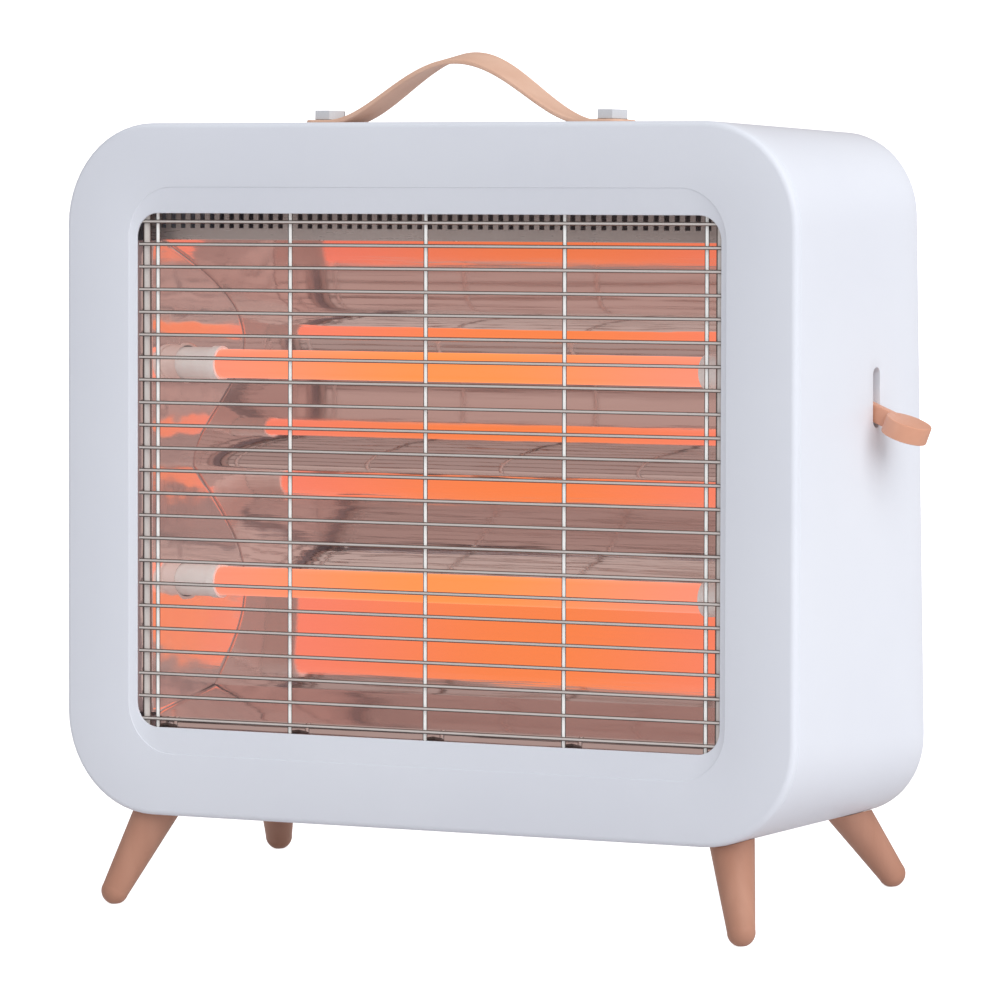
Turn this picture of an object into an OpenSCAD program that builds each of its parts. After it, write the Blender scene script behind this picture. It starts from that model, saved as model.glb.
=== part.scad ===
// Electric bar heater: a rounded housing that leans back on four splayed wooden legs, with two
// quartz tubes in a double trough reflector, a wire guard, a strap to carry it and a power lever.
// X runs along the width, Y from front to back and Z up. All sizes are in millimetres.

/* [Housing] */
// Width across the front
body_w = 380; // [372:1:400]
// Height from the underside to the top
body_h = 312; // [308:1:318]
// Depth along the underside
depth_bottom = 127.6; // [123:0.1:136]
// Depth along the top
depth_top = 115.6; // [110:0.1:120]
// Corner radius of the front outline
corner_r = 46; // [42:1:52]
// Corner radius of the rear outline
rear_corner_r = 36; // [32:1:42]
// How far each side draws in toward the back
side_draft = 5; // [4:0.5:6]
// How far the underside rises toward the back
bottom_draft = 6.8; // [6:0.1:8]
// How far the top drops toward the back
top_draft = 4; // [3:0.1:5]
// Thickness of the moulded walls
wall = 2.5; // [2.2:0.1:2.8]
// Angle that the housing leans back, in degrees
lean = 6.2; // [4:0.1:8]
// Height of the housing's front edge above the floor
stand_h = 41; // [40:0.5:46]

/* [Front bezel] */
// Depth of the bezel's side band, up to the seam
bezel_d = 4; // [3.5:0.1:4.5]
// Rounding of the bezel's front edge
edge_r = 2.6; // [1.5:0.1:3.2]
// Width of the border at each side of the window
border_side = 34.5; // [33:0.5:36]
// Width of the border above the window
border_top = 28.8; // [28:0.1:30]
// Width of the border below the window
border_bottom = 28.1; // [27.5:0.1:29]
// Corner radius of the window
window_r = 23; // [18:1:28]
// Depth of the sloping step inside the window
step_d = 1.5; // [1.2:0.1:2]
// Width of the step at each side
step_side = 3.3; // [3:0.1:5]
// Width of the step above and below
step_end = 11.7; // [11:0.1:12.5]
// Corner radius of the opening behind the step
opening_r = 11; // [8:1:14]
// Depth of the skirt that plugs into the shell
skirt_d = 5; // [4:0.5:5.5]
// Thickness of the skirt
skirt_t = 2; // [1.6:0.1:2.2]

/* [Wire guard] */
// Number of horizontal wires
wire_count = 23; // [21:1:24]
// Diameter of the horizontal wires
wire_d = 1.7; // [1.4:0.1:2]
// Diameter of the vertical wires
post_d = 2; // [1.6:0.1:2.2]
// Depth of the horizontal wires' centres behind the front
wire_y = 3.4; // [3.2:0.1:4]
// Distance from the opening's ends to the first and last wire
wire_margin = 3.75; // [3:0.05:5]
// Distance from the opening's sides to the last vertical wires
post_in = 9.1; // [8:0.1:12]
// Diameter of the rods along the guard's sides
side_rod_d = 3.8; // [3:0.1:4]

/* [Quartz tubes] */
// Outer diameter of the quartz tubes
tube_d = 13; // [12:0.5:13.4]
// Wall of the quartz tubes
tube_wall = 1; // [0.8:0.1:1.4]
// Distance between the two tubes
tube_spacing = 98.5; // [96:0.5:100]
// How far the pair sits below the middle of the opening
tube_drop = 1.4; // [0:0.1:2]
// Depth of the tubes' axes behind the front
tube_y = 33.4; // [32:0.1:35]
// Half of the length that glows
glow_half = 127; // [124:0.5:129]
// Radius of the heating winding's crests
winding_r = 3.9; // [3.2:0.1:4.4]
// Distance from one winding crest to the next
winding_pitch = 4; // [3.5:0.1:6]
// Radius of the ceramic caps' front flange
cap_flange_r = 7.9; // [7.6:0.1:8.6]
// Radius of the ceramic caps' body
cap_r = 7.3; // [7.1:0.1:7.5]
// Radius of the ceramic caps' neck
cap_neck_r = 5.6; // [5:0.1:6]

/* [Reflector] */
// Depth of the upper trough
trough_upper_y = 66.7; // [66:0.1:67.5]
// How far the upper trough's middle sits above its tube
trough_upper_rise = 9.8; // [9:0.1:10.5]
// Depth of the lower trough
trough_lower_y = 67.4; // [66:0.1:68]
// How far the lower trough's middle sits below its tube
trough_lower_drop = 4.3; // [3.5:0.1:5]
// How far the ridge between the troughs sits above the middle of the two tubes
ridge_rise = 2.15; // [1.5:0.05:3]
// Depth of that ridge
ridge_y = 36.9; // [35:0.1:39]
// Depth to which the lower trough's curve runs at its lower rim
lower_rim_y = 43.2; // [42:0.1:45]
// Distance from the opening's top to the reflector's upper rim
rim_top_gap = 12; // [11:0.1:12.5]
// Distance from the opening's bottom to the reflector's lower rim
rim_bottom_gap = 4.2; // [4:0.1:5]
// How far the end plates turn in toward the back
end_slant = 12; // [10:0.5:13]
// Thickness of the polished sheets
sheet_t = 0.8; // [0.6:0.1:0.9]

/* [Vent strip] */
// Distance from one slot to the next
slot_pitch = 5.28; // [5:0.02:5.8]
// Width of a slot
slot_w = 2.6; // [2:0.1:3]
// Height of a slot
slot_h = 7; // [5:0.5:7.5]
// Height of the plain lip below the slots
slot_lip = 5.3; // [4.8:0.1:6]

/* [Power lever] */
// Distance from the housing's side to the lever's pivot
pivot_in = 20.4; // [20:0.1:21]
// Depth of the lever behind the front
lever_y = 77.1; // [76.8:0.1:77.4]
// Distance of the pivot below the top
pivot_down = 119.5; // [116:0.5:124]
// Angle of the lever below level when it is off, in degrees
lever_rest = 22; // [20:0.5:23]
// Distance from the pivot to the paddle's tip
lever_reach = 48.3; // [44:0.1:52]
// Width of the paddle
paddle_w = 12; // [9:0.5:14]
// Width of the slot in the side wall
lever_slot_w = 6.6; // [6.2:0.1:7.4]
// Half of the slot's length
lever_slot_half = 13; // [13:0.5:15]
// Diameter of the lever's shaft
shaft_d = 5; // [4:0.5:5.5]

/* [Strap] */
// Width of the strap
strap_w = 19; // [16:1:22]
// Thickness of the strap
strap_t = 2.3; // [1.8:0.1:3]
// Depth of the strap's middle behind the front
strap_y = 41; // [38:0.5:44]
// Half of the strap's length along the top
strap_half = 84.4; // [83:0.2:88]
// Half of the distance between the strap's bolts
bolt_half = 74; // [73:0.5:76]
// Height that the strap arches above its ends
strap_rise = 28.7; // [20:0.1:36]
// Half of the width of the arch
arch_half = 66; // [62:0.5:66]

/* [Legs] */
// Distance from the housing's side to the middle of a foot
foot_in = 26.2; // [24:0.2:32]
// Depth of the front feet behind the housing's front edge
foot_front_y = -2.9; // [-4:0.1:-1]
// How far the rear feet stand behind the housing's underside
foot_rear_out = 4; // [2:0.1:5.2]
// Radius of the round foot
foot_r = 6.2; // [5.5:0.1:7]
// Sideways lean of a leg, in degrees
side_splay = 20.6; // [19:0.1:22]
// Lean of a leg toward the middle of the depth, in degrees
depth_splay = 27.8; // [26.5:0.1:28.4]
// Widening of a leg toward its top, in degrees of half angle
leg_taper = 5.2; // [4:0.1:5.4]

/* [Fasteners] */
// Diameter of the strap bolts and of the leg studs
stud_d = 8; // [7:0.5:8]
// Width across the flats of their heads and nuts
hex_flats = 13; // [12:0.5:13]
// Height of their nuts
nut_h = 6.5; // [5:0.1:6.8]
// Diameter of the screws inside
screw_d = 3.5; // [3:0.1:3.8]

/* [Hidden] */

$fn = 64;
// Gap between seated pieces, and between a plugged skirt and its wall
seat = 0.3;
// Radial play of a turning shaft, and of a plain threaded joint
run_play = 0.05;
snug_play = 0.02;
// Radial clearance of a screw or stud in its hole
hole_play = 0.35;
// Overlap that joins shapes of one piece, and the reach of a cut past a face
join = 0.5;
past = 1;
// Thickness of the slices between which a drafted shape is stretched
slice = 0.01;

// Drafted housing
rear_tilt = atan((depth_bottom - depth_top) / body_h);
top_slope = atan(top_draft / depth_top);
under_slope = atan(bottom_draft / depth_bottom);
rear_h = (body_h - top_draft - bottom_draft) / cos(rear_tilt);
rear_bottom = bottom_draft / cos(rear_tilt);
rear_w = body_w - 2 * side_draft;
foot_x = body_w / 2 - foot_in;
foot_rear_y = depth_bottom + foot_rear_out;
pivot_x = body_w / 2 - pivot_in;
pivot_z = body_h - pivot_down;

// Window and opening
window_w = body_w - 2 * border_side;
window_h = body_h - border_top - border_bottom;
opening_w = window_w - 2 * step_side;
opening_h = window_h - 2 * step_end;
opening_bottom = border_bottom + step_end;
opening_top = opening_bottom + opening_h;
opening_mid = opening_bottom + opening_h / 2;
lip_t = 1;
recess_out = 16;

// Flanges inside the shell and what is stacked on the front one
flange_w = 24;
flange_y = 10;
flange_t = 2;
rear_flange_w = 16;
cover_t = 2;
cover_in = 0.9;
rear_flange_in = cover_in + cover_t + seat;
stack_1 = flange_y + flange_t + seat;
stack_2 = stack_1 + sheet_t + seat;
bracket_t = 1.2;

// Screws through the front flange: each is [x, z, where its head seats]
screw_inset = 14;
screw_r = screw_d / 2;
screw_head_r = screw_d;
screw_head_h = 2;
side_screw_z = [70, body_h - 72];
end_screw_x = 100;
boss_r = 4;
side_screw_x = body_w / 2 - screw_inset;
bezel_screw_at = concat(
    [for (s = [-1, 1]) for (z = side_screw_z) [s * side_screw_x, z, stack_2 + bracket_t + seat]],
    [for (s = [-1, 1]) [s * end_screw_x, body_h - screw_inset, stack_1 + sheet_t + seat]],
    [for (s = [-1, 1]) [s * end_screw_x, screw_inset, stack_1 + sheet_t + seat]]
);
boss_end = flange_y - seat;
boss_blind = 2.5;

// Wire guard
weld = 0.15;
wire_gap = 0.6;
post_seat = 0.1;
hook_rise = 14;
hook_in = 0.2;
hook_past = 2;
hook_play = 0.4;
post_y = wire_y + (wire_d + post_d) / 2 + post_seat;
wire_half = opening_w / 2 - wire_gap;
wire_pitch = (opening_h - 2 * wire_margin) / (wire_count - 1);
post_pitch = (opening_w / 2 - post_in) / 2;
post_x = [for (k = [-2:2]) k * post_pitch];
side_rod_in = 2.7;
side_rod_x = opening_w / 2 - side_rod_in;
side_rod_y = wire_y + (wire_d + side_rod_d) / 2 - weld;
hook_end = stack_1 + sheet_t + hook_past;
hook_low = opening_bottom + hook_in;
hook_high = opening_top + hook_rise;
hook_hole_r = post_d / 2 + hook_play;

// Tubes
tube_mid = opening_mid - tube_drop;
tube_z = [tube_mid + tube_spacing / 2, tube_mid - tube_spacing / 2];
tube_r = tube_d / 2;
shoulder_out = 3.7;
cap_neck_l = 5.7;
tube_plug = 5;
pin_l = 4;
cap_shoulder = opening_w / 2 + shoulder_out;
cap_end = cap_shoulder + cap_neck_l;
cap_flange_t = 4;
tube_half = cap_shoulder - tube_plug;
pin_r = 1;
pin_end = cap_end + pin_l;
winding_depth = 1.1;

// Vent strip
strip_in = 4.4;
strip_rise = 10.5;
strip_y = stack_1 + strip_in;
strip_bend_z = opening_top + strip_rise;
strip_top = body_h - 8;
rim_top = opening_top - rim_top_gap;
slot_z = rim_top + slot_lip;

// Reflector: from its deepest line to each edge, a trough's depth falls off as a fourth-degree
// curve, whose three shares of the second, third and fourth power add up to one
upper_rim_share = [0.994, 0.216, -0.21];
upper_ridge_share = [2.46, -0.66, -0.8];
lower_ridge_share = [1.25, 0.1, -0.35];
lower_rim_share = [1.63, -0.13, -0.5];
upper_mid = tube_z[0] + trough_upper_rise;
lower_mid = tube_z[1] - trough_lower_drop;
upper_rim_y = strip_y + sheet_t + seat;
lip_rise = 3;
ridge_z = tube_mid + ridge_rise;
rim_bottom = opening_bottom + rim_bottom_gap;
rim_tab = 8;
profile_steps = 48;
sheet_back = 1.4;
end_gap = 1.4;
end_lap = 1.5;
end_x = opening_w / 2 + end_gap;
end_back_y = 60;
reflector_half = end_x + end_lap;
strip_half = reflector_half + end_lap;
socket_in = 45.8;
socket_clear = foot_x - socket_in;

// Tube brackets, heat shield and what it carries
bracket_gap = 2.6;
bracket_clear = 9.1;
bracket_foot = 20;
bracket_lap = 16.6;
bracket_x = end_x + bracket_gap;
bracket_low = side_screw_z[0] - bracket_foot / 2;
bracket_high = side_screw_z[1] + bracket_foot / 2;
bracket_back = max(trough_upper_y, trough_lower_y) + sheet_back + bracket_clear;
shield_side = 3.4;
shield_under = 3.8;
shield_over = 6.5;
shield_y = bracket_back + bracket_t + seat;
shield_t = 0.8;
shield_half = bracket_x + shield_side;
shield_low = opening_bottom - shield_under;
shield_high = opening_top + shield_over;
carry_y = shield_y + shield_t + seat;
shield_screw_in = 8.6;
shield_screw_past = 1.2;
shield_screw_x = bracket_x - shield_screw_in;
shield_screw_step = 5;
shield_screw_z = [side_screw_z[0] + shield_screw_step, side_screw_z[1] - shield_screw_step];
shield_screw_tip = bracket_back - shield_screw_past;
switch_screw_half = 14.5;
switch_screw_z = [pivot_z - switch_screw_half, pivot_z + switch_screw_half];
switch_plate_lap = 16;
switch_out = 11.4;
switch_plate_half = 22;
switch_plate_x = [shield_screw_x - switch_plate_lap, pivot_x + switch_out];
switch_y = carry_y + bracket_t + seat;
switch_size = [27, 20, 33];

// Lever
hub_r = 7;
hub_front = 3.3;
shaft_nose = 2.2;
hub_y = lever_y - hub_front;
hub_t = carry_y - seat - hub_y;
shaft_r = shaft_d / 2;
shaft_front = hub_y - shaft_nose;
shaft_depth = 8;
neck_w = 4.6;
neck_h = 7.6;
neck_end = 25;
paddle_r = 3.5;
paddle_start = 25;
tip_rise = 3.4;
tip_fall = 1.4;
root_narrow = 1.5;
root_rise = 0.8;
tip_corner = 1;
tip_share = 0.6;
belly_back = 5;
clip_t = 1.2;
clip_r = 4.5;
lever_tip = lever_reach - paddle_r;
lever_out = pivot_x - body_w / 2 + lever_tip * cos(lever_rest) + tip_rise * sin(lever_rest) + paddle_r;

// Strap
strap_steps = 72;
strap_peak_x = -3;
strap_bottom = seat;
bolt_r = stud_d / 2;
hex_r = hex_flats / 2 / cos(30);
bolt_head_h = 4;
washer_t = 1.5;
washer_r = 8.5;
strap_tip_r = 5;

// Legs
foot_flat = 0.5;
foot_z = foot_r - foot_flat;
splay_x = tan(side_splay);
splay_y = tan(depth_splay);
splay_len = sqrt(1 + splay_x * splay_x + splay_y * splay_y);
floor_slope = tan(under_slope - lean);
socket_len = 14;
socket_r = 11.5;
stud_in = 15;
stud_past = 2;
leg_over = 14;

// Rear parts
cover_gap = 0.4;
cover_screw_in = 9;
cover_screw_z = [62, body_h - 66];
cover_screw_x = 92;
vent_w = 118;
vent_h = 4.4;
vent_pitch = 9;
vent_x = 76;
vent_low = 62;
vent_high = body_h - 126;
vent_rows = [for (k = [0:7]) vent_low + k * vent_pitch, for (k = [0:9]) vent_high + k * vent_pitch];
gland_in_x = 57;
gland_x = gland_in_x - rear_w / 2;
gland_z = 36;
gland_r = 8;
gland_bore_r = 3.6;
gland_flange_r = 12;
gland_flange_t = 2.5;
gland_in = 14;
gland_nut_wall = 4;
gland_nut_t = 5;

// Small units on the heat shield, placed by the middle of the housing and by height
cutout_drop = 22;
cutout_z = shield_high - cutout_drop;
cutout_r = 8;
cutout_t = 7;
cutout_tab = [6.3, 0.8, 13];
cutout_tab_x = 4.2;
tilt_box = [32, 22, 26];
tilt_at = [-92, 46];
tilt_ear = [48, 2, 10];
terminal_at = [56, 50];
terminal_ways = 4;
terminal_box = [12, 12, 16];
terminal_bore_r = 2.5;
terminal_bore = 8;

// Leads: each runs from a tube's pin or from the cut-out, behind the shield, to its terminal
lead_r = 1.4;
lead_sides = 8;
lead_gap = 0.6;
lead_side_gap = 18;
lead_depth = 10;
lead_close = 0.2;
lead_tab_under = 1.5;
lead_tab_in = 1;
lead_x = pin_end + lead_r + lead_gap - lead_close;
lead_side = body_w / 2 - lead_side_gap;
lead_y = carry_y + lead_depth;
lead_top = terminal_at[1] + terminal_box[2] + lead_gap;
tab_z = cutout_z - cutout_r - cutout_tab[2] / 2 - lead_tab_under;
tab_y = carry_y + cutout_t / 2 + cutout_tab[1] + lead_r - lead_tab_in;
switch_lead_z = switch_size[2] / 2 + lead_gap;
lead_routes = [
    [[lead_x, tube_y, tube_z[0]], [lead_side, 42, tube_z[0] + 12], [lead_side, lead_y, pivot_z + 30],
        [pivot_x - 2, lead_y + 2, pivot_z + switch_lead_z]],
    [[lead_x, tube_y, tube_z[1]], [lead_side, 42, tube_z[1] + 7], [lead_side, lead_y, pivot_z - 52],
        [pivot_x - 2, lead_y + 2, pivot_z - switch_lead_z]],
    [[-lead_x, tube_y, tube_z[0]], [-lead_side, 50, tube_z[0] + 10], [-lead_side, lead_y, tube_z[0] + 18],
        [-60, lead_y, cutout_z - 24], [-8, lead_y - 2, cutout_z - 20], [-cutout_tab_x, tab_y, tab_z]],
    [[-lead_x, tube_y, tube_z[1]], [-lead_side, 50, tube_z[1] - 9], [-lead_side, lead_y, tube_z[1] - 15],
        [40, lead_y, tube_z[1] - 15], [62, lead_y - 2, lead_top]],
    [[cutout_tab_x, tab_y, tab_z], [12, lead_y - 2, cutout_z - 24], [40, lead_y, 200], [86, lead_y, 100],
        [86, lead_y - 2, lead_top]]
];

// Origin: middle of the whole outline, on the floor
back_top_z = body_h - top_draft;
centre_x = lever_out / 2;
back_y = rear_y(back_top_z) * cos(lean) + back_top_z * sin(lean);
centre_y = (back_y + foot_front_y - foot_r) / 2;

white = [0.93, 0.94, 0.96];
wood = [0.76, 0.56, 0.46];
polished = [0.82, 0.82, 0.84];

function rear_y(z) = depth_bottom - z * tan(rear_tilt);
function fall(t, c) = c[0] * t * t + c[1] * t * t * t + c[2] * t * t * t * t;
function trough_side(z, mid, edge, mid_y, edge_y, share) =
    mid_y - (mid_y - edge_y) * fall((z - mid) / (edge - mid), share);
function upper_y(z) = z > upper_mid
    ? trough_side(z, upper_mid, rim_top, trough_upper_y, upper_rim_y, upper_rim_share)
    : trough_side(z, upper_mid, ridge_z, trough_upper_y, ridge_y, upper_ridge_share);
function lower_y(z) = z > lower_mid
    ? trough_side(z, lower_mid, ridge_z, trough_lower_y, ridge_y, lower_ridge_share)
    : trough_side(z, lower_mid, rim_bottom, trough_lower_y, lower_rim_y, lower_rim_share);
function lip_y(z) = stack_1 + seat + (z - rim_bottom) * lip_rise;
function trough_y(z) = z > ridge_z ? upper_y(z) : min(lower_y(z), lip_y(z));
function step_z(k) = rim_bottom + (rim_top - rim_bottom) * k / profile_steps;
function end_plate_x(y) = end_x - end_slant * (y - stack_1) / (end_back_y - stack_1);
function top_z(y) = body_h - y * tan(top_slope);
function arch(x) = abs(x) < arch_half ? pow((1 + cos(180 * x / arch_half)) / 2, 0.9) : 0;
function strap_z(x) = strap_bottom + strap_rise * arch(x - strap_peak_x);
function strap_x(k) = -strap_half + 2 * strap_half * k / strap_steps;
function foot_y(front) = front ? foot_front_y : foot_rear_y;
function seat_len(front) = let (s = front ? 1 : -1)
    splay_len * (stand_h - foot_z + floor_slope * foot_y(front)) / (1 - floor_slope * s * splay_y);

// Places its children, drawn in the housing's own directions, in the leaning housing
module on_body() {
    translate([-centre_x, -centre_y, stand_h])
        rotate([-lean, 0, 0])
            children();
}

// Places its children on the tilted rear plane, with Y out of the back
module on_rear() {
    translate([0, depth_bottom, 0])
        rotate([rear_tilt, 0, 0])
            children();
}

// Places its children on a leg's axis, with Z up the leg from the middle of its foot
module on_leg(side, front) {
    translate([side * foot_x - centre_x, foot_y(front) - centre_y, foot_z])
        rotate([0, acos(1 / splay_len), atan2((front ? 1 : -1) * splay_y, -side * splay_x)])
            children();
}

// Flat outline raised to a plate that reaches from depth y to y + t
module plate(y, t) {
    translate([0, y + t, 0])
        rotate([90, 0, 0])
            linear_extrude(t)
                children();
}

// Outline in depth and height drawn out along the width, from x to x + l
module along_x(x, l) {
    translate([x, 0, 0])
        rotate([90, 0, 90])
            linear_extrude(l)
                children();
}

// Rod along the depth, from y to y + l
module rod_y(x, y, z, r, l) {
    translate([x, y + l, z])
        rotate([90, 0, 0])
            cylinder(r = r, h = l);
}

// Rod along the width, from x to x + l
module rod_x(x, y, z, r, l) {
    translate([x, y, z])
        rotate([0, 90, 0])
            cylinder(r = r, h = l);
}

module rounded_rect(w, h, r) {
    translate([-w / 2 + r, 0])
        square([w - 2 * r, h]);
    translate([-w / 2, r])
        square([w, h - 2 * r]);
    for (s = [-1, 1])
        for (z = [r, h - r])
            translate([s * (w / 2 - r), z])
                circle(r);
}

module front_outline(inset) {
    translate([0, inset])
        rounded_rect(body_w - 2 * inset, body_h - 2 * inset, corner_r - inset, $fn = 96);
}

module rear_outline(inset) {
    translate([0, rear_bottom + inset])
        rounded_rect(rear_w - 2 * inset, rear_h - 2 * inset, rear_corner_r - inset, $fn = 96);
}

module window_outline() {
    translate([0, border_bottom])
        rounded_rect(window_w, window_h, window_r);
}

module opening_outline(grow) {
    translate([0, opening_bottom - grow])
        rounded_rect(opening_w + 2 * grow, opening_h + 2 * grow, opening_r + grow);
}

// Drafted block between the front outline at depth y and the rear plane
module drafted(inset, y, rear_in) {
    hull() {
        plate(y, slice)
            front_outline(inset);
        on_rear()
            plate(-rear_in - slice, slice)
                rear_outline(inset);
    }
}

module front_bezel() {
    color(white)
        on_body()
            difference() {
                union() {
                    hull() {
                        for (a = [0:30:90])
                            plate(edge_r * (1 - cos(a)), slice)
                                front_outline(edge_r * (1 - sin(a)));
                        plate(bezel_d - slice, slice)
                            front_outline(0);
                    }
                    bezel_skirt();
                    for (p = bezel_screw_at)
                        rod_y(p[0], bezel_d - join, p[1], boss_r, boss_end - bezel_d + join);
                }
                plate(-past, past)
                    window_outline();
                hull() {
                    plate(-slice, slice)
                        window_outline();
                    plate(step_d - slice, slice)
                        opening_outline(0);
                }
                plate(0, flange_y)
                    opening_outline(0);
                plate(step_d + lip_t, bezel_d - step_d)
                    opening_outline(recess_out);
                for (p = bezel_screw_at)
                    rod_y(p[0], boss_blind, p[1], screw_r + run_play, flange_y);
            }
}

module bezel_skirt() {
    skirt_in = wall + 2 * seat + 0.6;
    plate(bezel_d - join, skirt_d + join)
        difference() {
            front_outline(skirt_in);
            front_outline(skirt_in + skirt_t);
        }
}

module shell() {
    color(white)
        difference() {
            on_body()
                difference() {
                    union() {
                        difference() {
                            drafted(0, bezel_d + seat, 0);
                            drafted(wall, bezel_d + seat - past, -past);
                        }
                        front_flange();
                        rear_flange();
                    }
                    for (p = bezel_screw_at)
                        rod_y(p[0], flange_y - past, p[1], screw_r + hole_play, flange_t + 2 * past);
                    lever_slot();
                    on_strap()
                        for (s = [-1, 1])
                            translate([s * bolt_half, 0, -2 * wall])
                                cylinder(r = bolt_r + hole_play, h = 3 * wall);
                    on_rear()
                        for (p = cover_screw_at())
                            translate([0, -rear_flange_in - 3 * flange_t, 0])
                                rod_y(p[0], 0, p[1], screw_r + run_play, 4 * flange_t);
                }
            for (side = [-1, 1])
                for (front = [true, false])
                    on_leg(side, front)
                        translate([0, 0, seat_len(front) - 4 * wall])
                            cylinder(r = bolt_r + hole_play, h = 8 * wall);
        }
}

module front_flange() {
    plate(flange_y, flange_t)
        difference() {
            front_outline(wall - join);
            translate([0, flange_w])
                rounded_rect(body_w - 2 * flange_w, body_h - 2 * flange_w, corner_r - flange_w);
        }
}

module rear_flange() {
    on_rear()
        plate(-rear_flange_in - flange_t, flange_t)
            difference() {
                rear_outline(wall - join);
                rear_outline(rear_flange_w);
            }
}

module lever_slot() {
    slot_r = lever_slot_w / 2;
    wall_x = body_w / 2 - 4 * wall;
    for (s = [-1, 1])
        rod_x(wall_x, lever_y, pivot_z + s * (lever_slot_half - slot_r), slot_r, 6 * wall);
    translate([wall_x, lever_y - slot_r, pivot_z - lever_slot_half + slot_r])
        cube([6 * wall, lever_slot_w, 2 * (lever_slot_half - slot_r)]);
}

// Places its children where the strap lies, with Z off the sloping top
module on_strap() {
    translate([0, strap_y, top_z(strap_y)])
        rotate([-top_slope, 0, 0])
            children();
}

function cover_screw_at() = concat(
    [for (s = [-1, 1]) for (z = cover_screw_z) [s * (rear_w / 2 - cover_screw_in), z]],
    [for (s = [-1, 1]) for (z = [rear_bottom + cover_screw_in, rear_bottom + rear_h - cover_screw_in])
        [s * cover_screw_x, z]]
);

module rear_cover() {
    color(white)
        on_body()
            on_rear()
                difference() {
                    plate(-cover_in - cover_t, cover_t)
                        difference() {
                            rear_outline(wall + cover_gap);
                            for (s = [-1, 1])
                                for (z = vent_rows)
                                    translate([s * vent_x, z])
                                        stadium(vent_w, vent_h);
                            translate([gland_x, gland_z])
                                circle(gland_r + hole_play);
                        }
                    for (p = cover_screw_at())
                        cover_screw_shape(p, hole_play);
                }
}

module stadium(l, h) {
    square([l - h, h], center = true);
    for (s = [-1, 1])
        translate([s * (l - h) / 2, 0])
            circle(h / 2);
}

// Countersunk screw, grown by a clearance where it is used as a hole
module cover_screw_shape(p, grow) {
    head_r = screw_head_r;
    translate([p[0], -cover_in, p[1]])
        rotate([90, 0, 0]) {
            cylinder(r1 = head_r + grow, r2 = screw_r + grow, h = head_r - screw_r);
            cylinder(r = screw_r + grow, h = cover_t + 3 * flange_t);
        }
}

module cover_screws() {
    color("silver")
        on_body()
            on_rear()
                for (p = cover_screw_at())
                    cover_screw_shape(p, 0);
}

module bezel_screws() {
    color("silver")
        on_body()
            for (p = bezel_screw_at) {
                rod_y(p[0], boss_blind + past, p[1], screw_r, p[2] - boss_blind);
                rod_y(p[0], p[2], p[1], screw_head_r, screw_head_h);
            }
}

module wire_guard() {
    color(polished)
        on_body() {
            for (k = [0:wire_count - 1])
                translate([0, 0, opening_top - wire_margin - k * wire_pitch])
                    rod_x(-wire_half, wire_y, 0, wire_d / 2, 2 * wire_half);
            for (x = [-side_rod_x, side_rod_x])
                translate([x, side_rod_y, hook_low])
                    cylinder(d = side_rod_d, h = hook_high - hook_low);
        }
}

module guard_posts() {
    color(polished)
        on_body()
            for (x = post_x) {
                translate([x, post_y, hook_low])
                    cylinder(d = post_d, h = hook_high - hook_low);
                for (z = [hook_low, hook_high])
                    rod_y(x, post_y, z, post_d / 2, hook_end - post_y);
                for (z = [hook_low, hook_high])
                    translate([x, post_y, z])
                        sphere(d = post_d, $fn = 24);
            }
}

module vent_strip() {
    slot_n = floor((strip_half - slot_pitch) / slot_pitch);
    color(polished)
        on_body()
            difference() {
                along_x(-strip_half, 2 * strip_half)
                    strip_profile();
                for (k = [-slot_n:slot_n])
                    translate([k * slot_pitch - slot_w / 2, strip_y - past, slot_z])
                        cube([slot_w, 2 * past + sheet_t, slot_h]);
                for (s = [-1, 1])
                    sheet_hole(s * end_screw_x, body_h - screw_inset, screw_r + hole_play);
                for (x = post_x)
                    sheet_hole(x, hook_high, hook_hole_r);
            }
}

// Hole through a sheet that lies against the front flange
module sheet_hole(x, z, r) {
    rod_y(x, stack_1 - past, z, r, 2 * past + sheet_t);
}

module strip_profile() {
    translate([strip_y, rim_top + seat])
        square([sheet_t, strip_bend_z + sheet_t - rim_top - seat]);
    translate([stack_1, strip_bend_z])
        square([strip_y + sheet_t - stack_1, sheet_t]);
    translate([stack_1, strip_bend_z])
        square([sheet_t, strip_top - strip_bend_z]);
}

module reflector() {
    color(polished)
        on_body()
            difference() {
                union() {
                    along_x(-reflector_half, 2 * reflector_half)
                        reflector_profile();
                    translate([-socket_clear, stack_1, 2 * wall])
                        cube([2 * socket_clear, sheet_t, rim_bottom - 2 * wall]);
                }
                for (s = [-1, 1])
                    sheet_hole(s * end_screw_x, screw_inset, screw_r + hole_play);
                for (x = post_x)
                    sheet_hole(x, hook_low, hook_hole_r);
            }
}

module reflector_profile() {
    polygon(concat(
        [for (k = [0:profile_steps]) [trough_y(step_z(k)), step_z(k)]],
        [for (k = [profile_steps:-1:0]) [trough_y(step_z(k)) + sheet_back, step_z(k)]]
    ));
    translate([stack_1, rim_bottom - rim_tab])
        square([sheet_t, rim_tab + sheet_t]);
    translate([strip_y + sheet_t + seat, rim_top - sheet_t])
        square([sheet_t, slot_lip]);
}

// Space in front of the troughs, where the end plates stand
module trough_space(gap) {
    along_x(-body_w / 2, body_w)
        polygon(concat(
            [[0, rim_bottom + seat + sheet_t], [0, rim_top - seat], [upper_rim_y - gap, rim_top - seat]],
            [for (k = [profile_steps - 1:-1:0]) [trough_y(step_z(k)) - gap, step_z(k)]]
        ));
}

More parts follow.
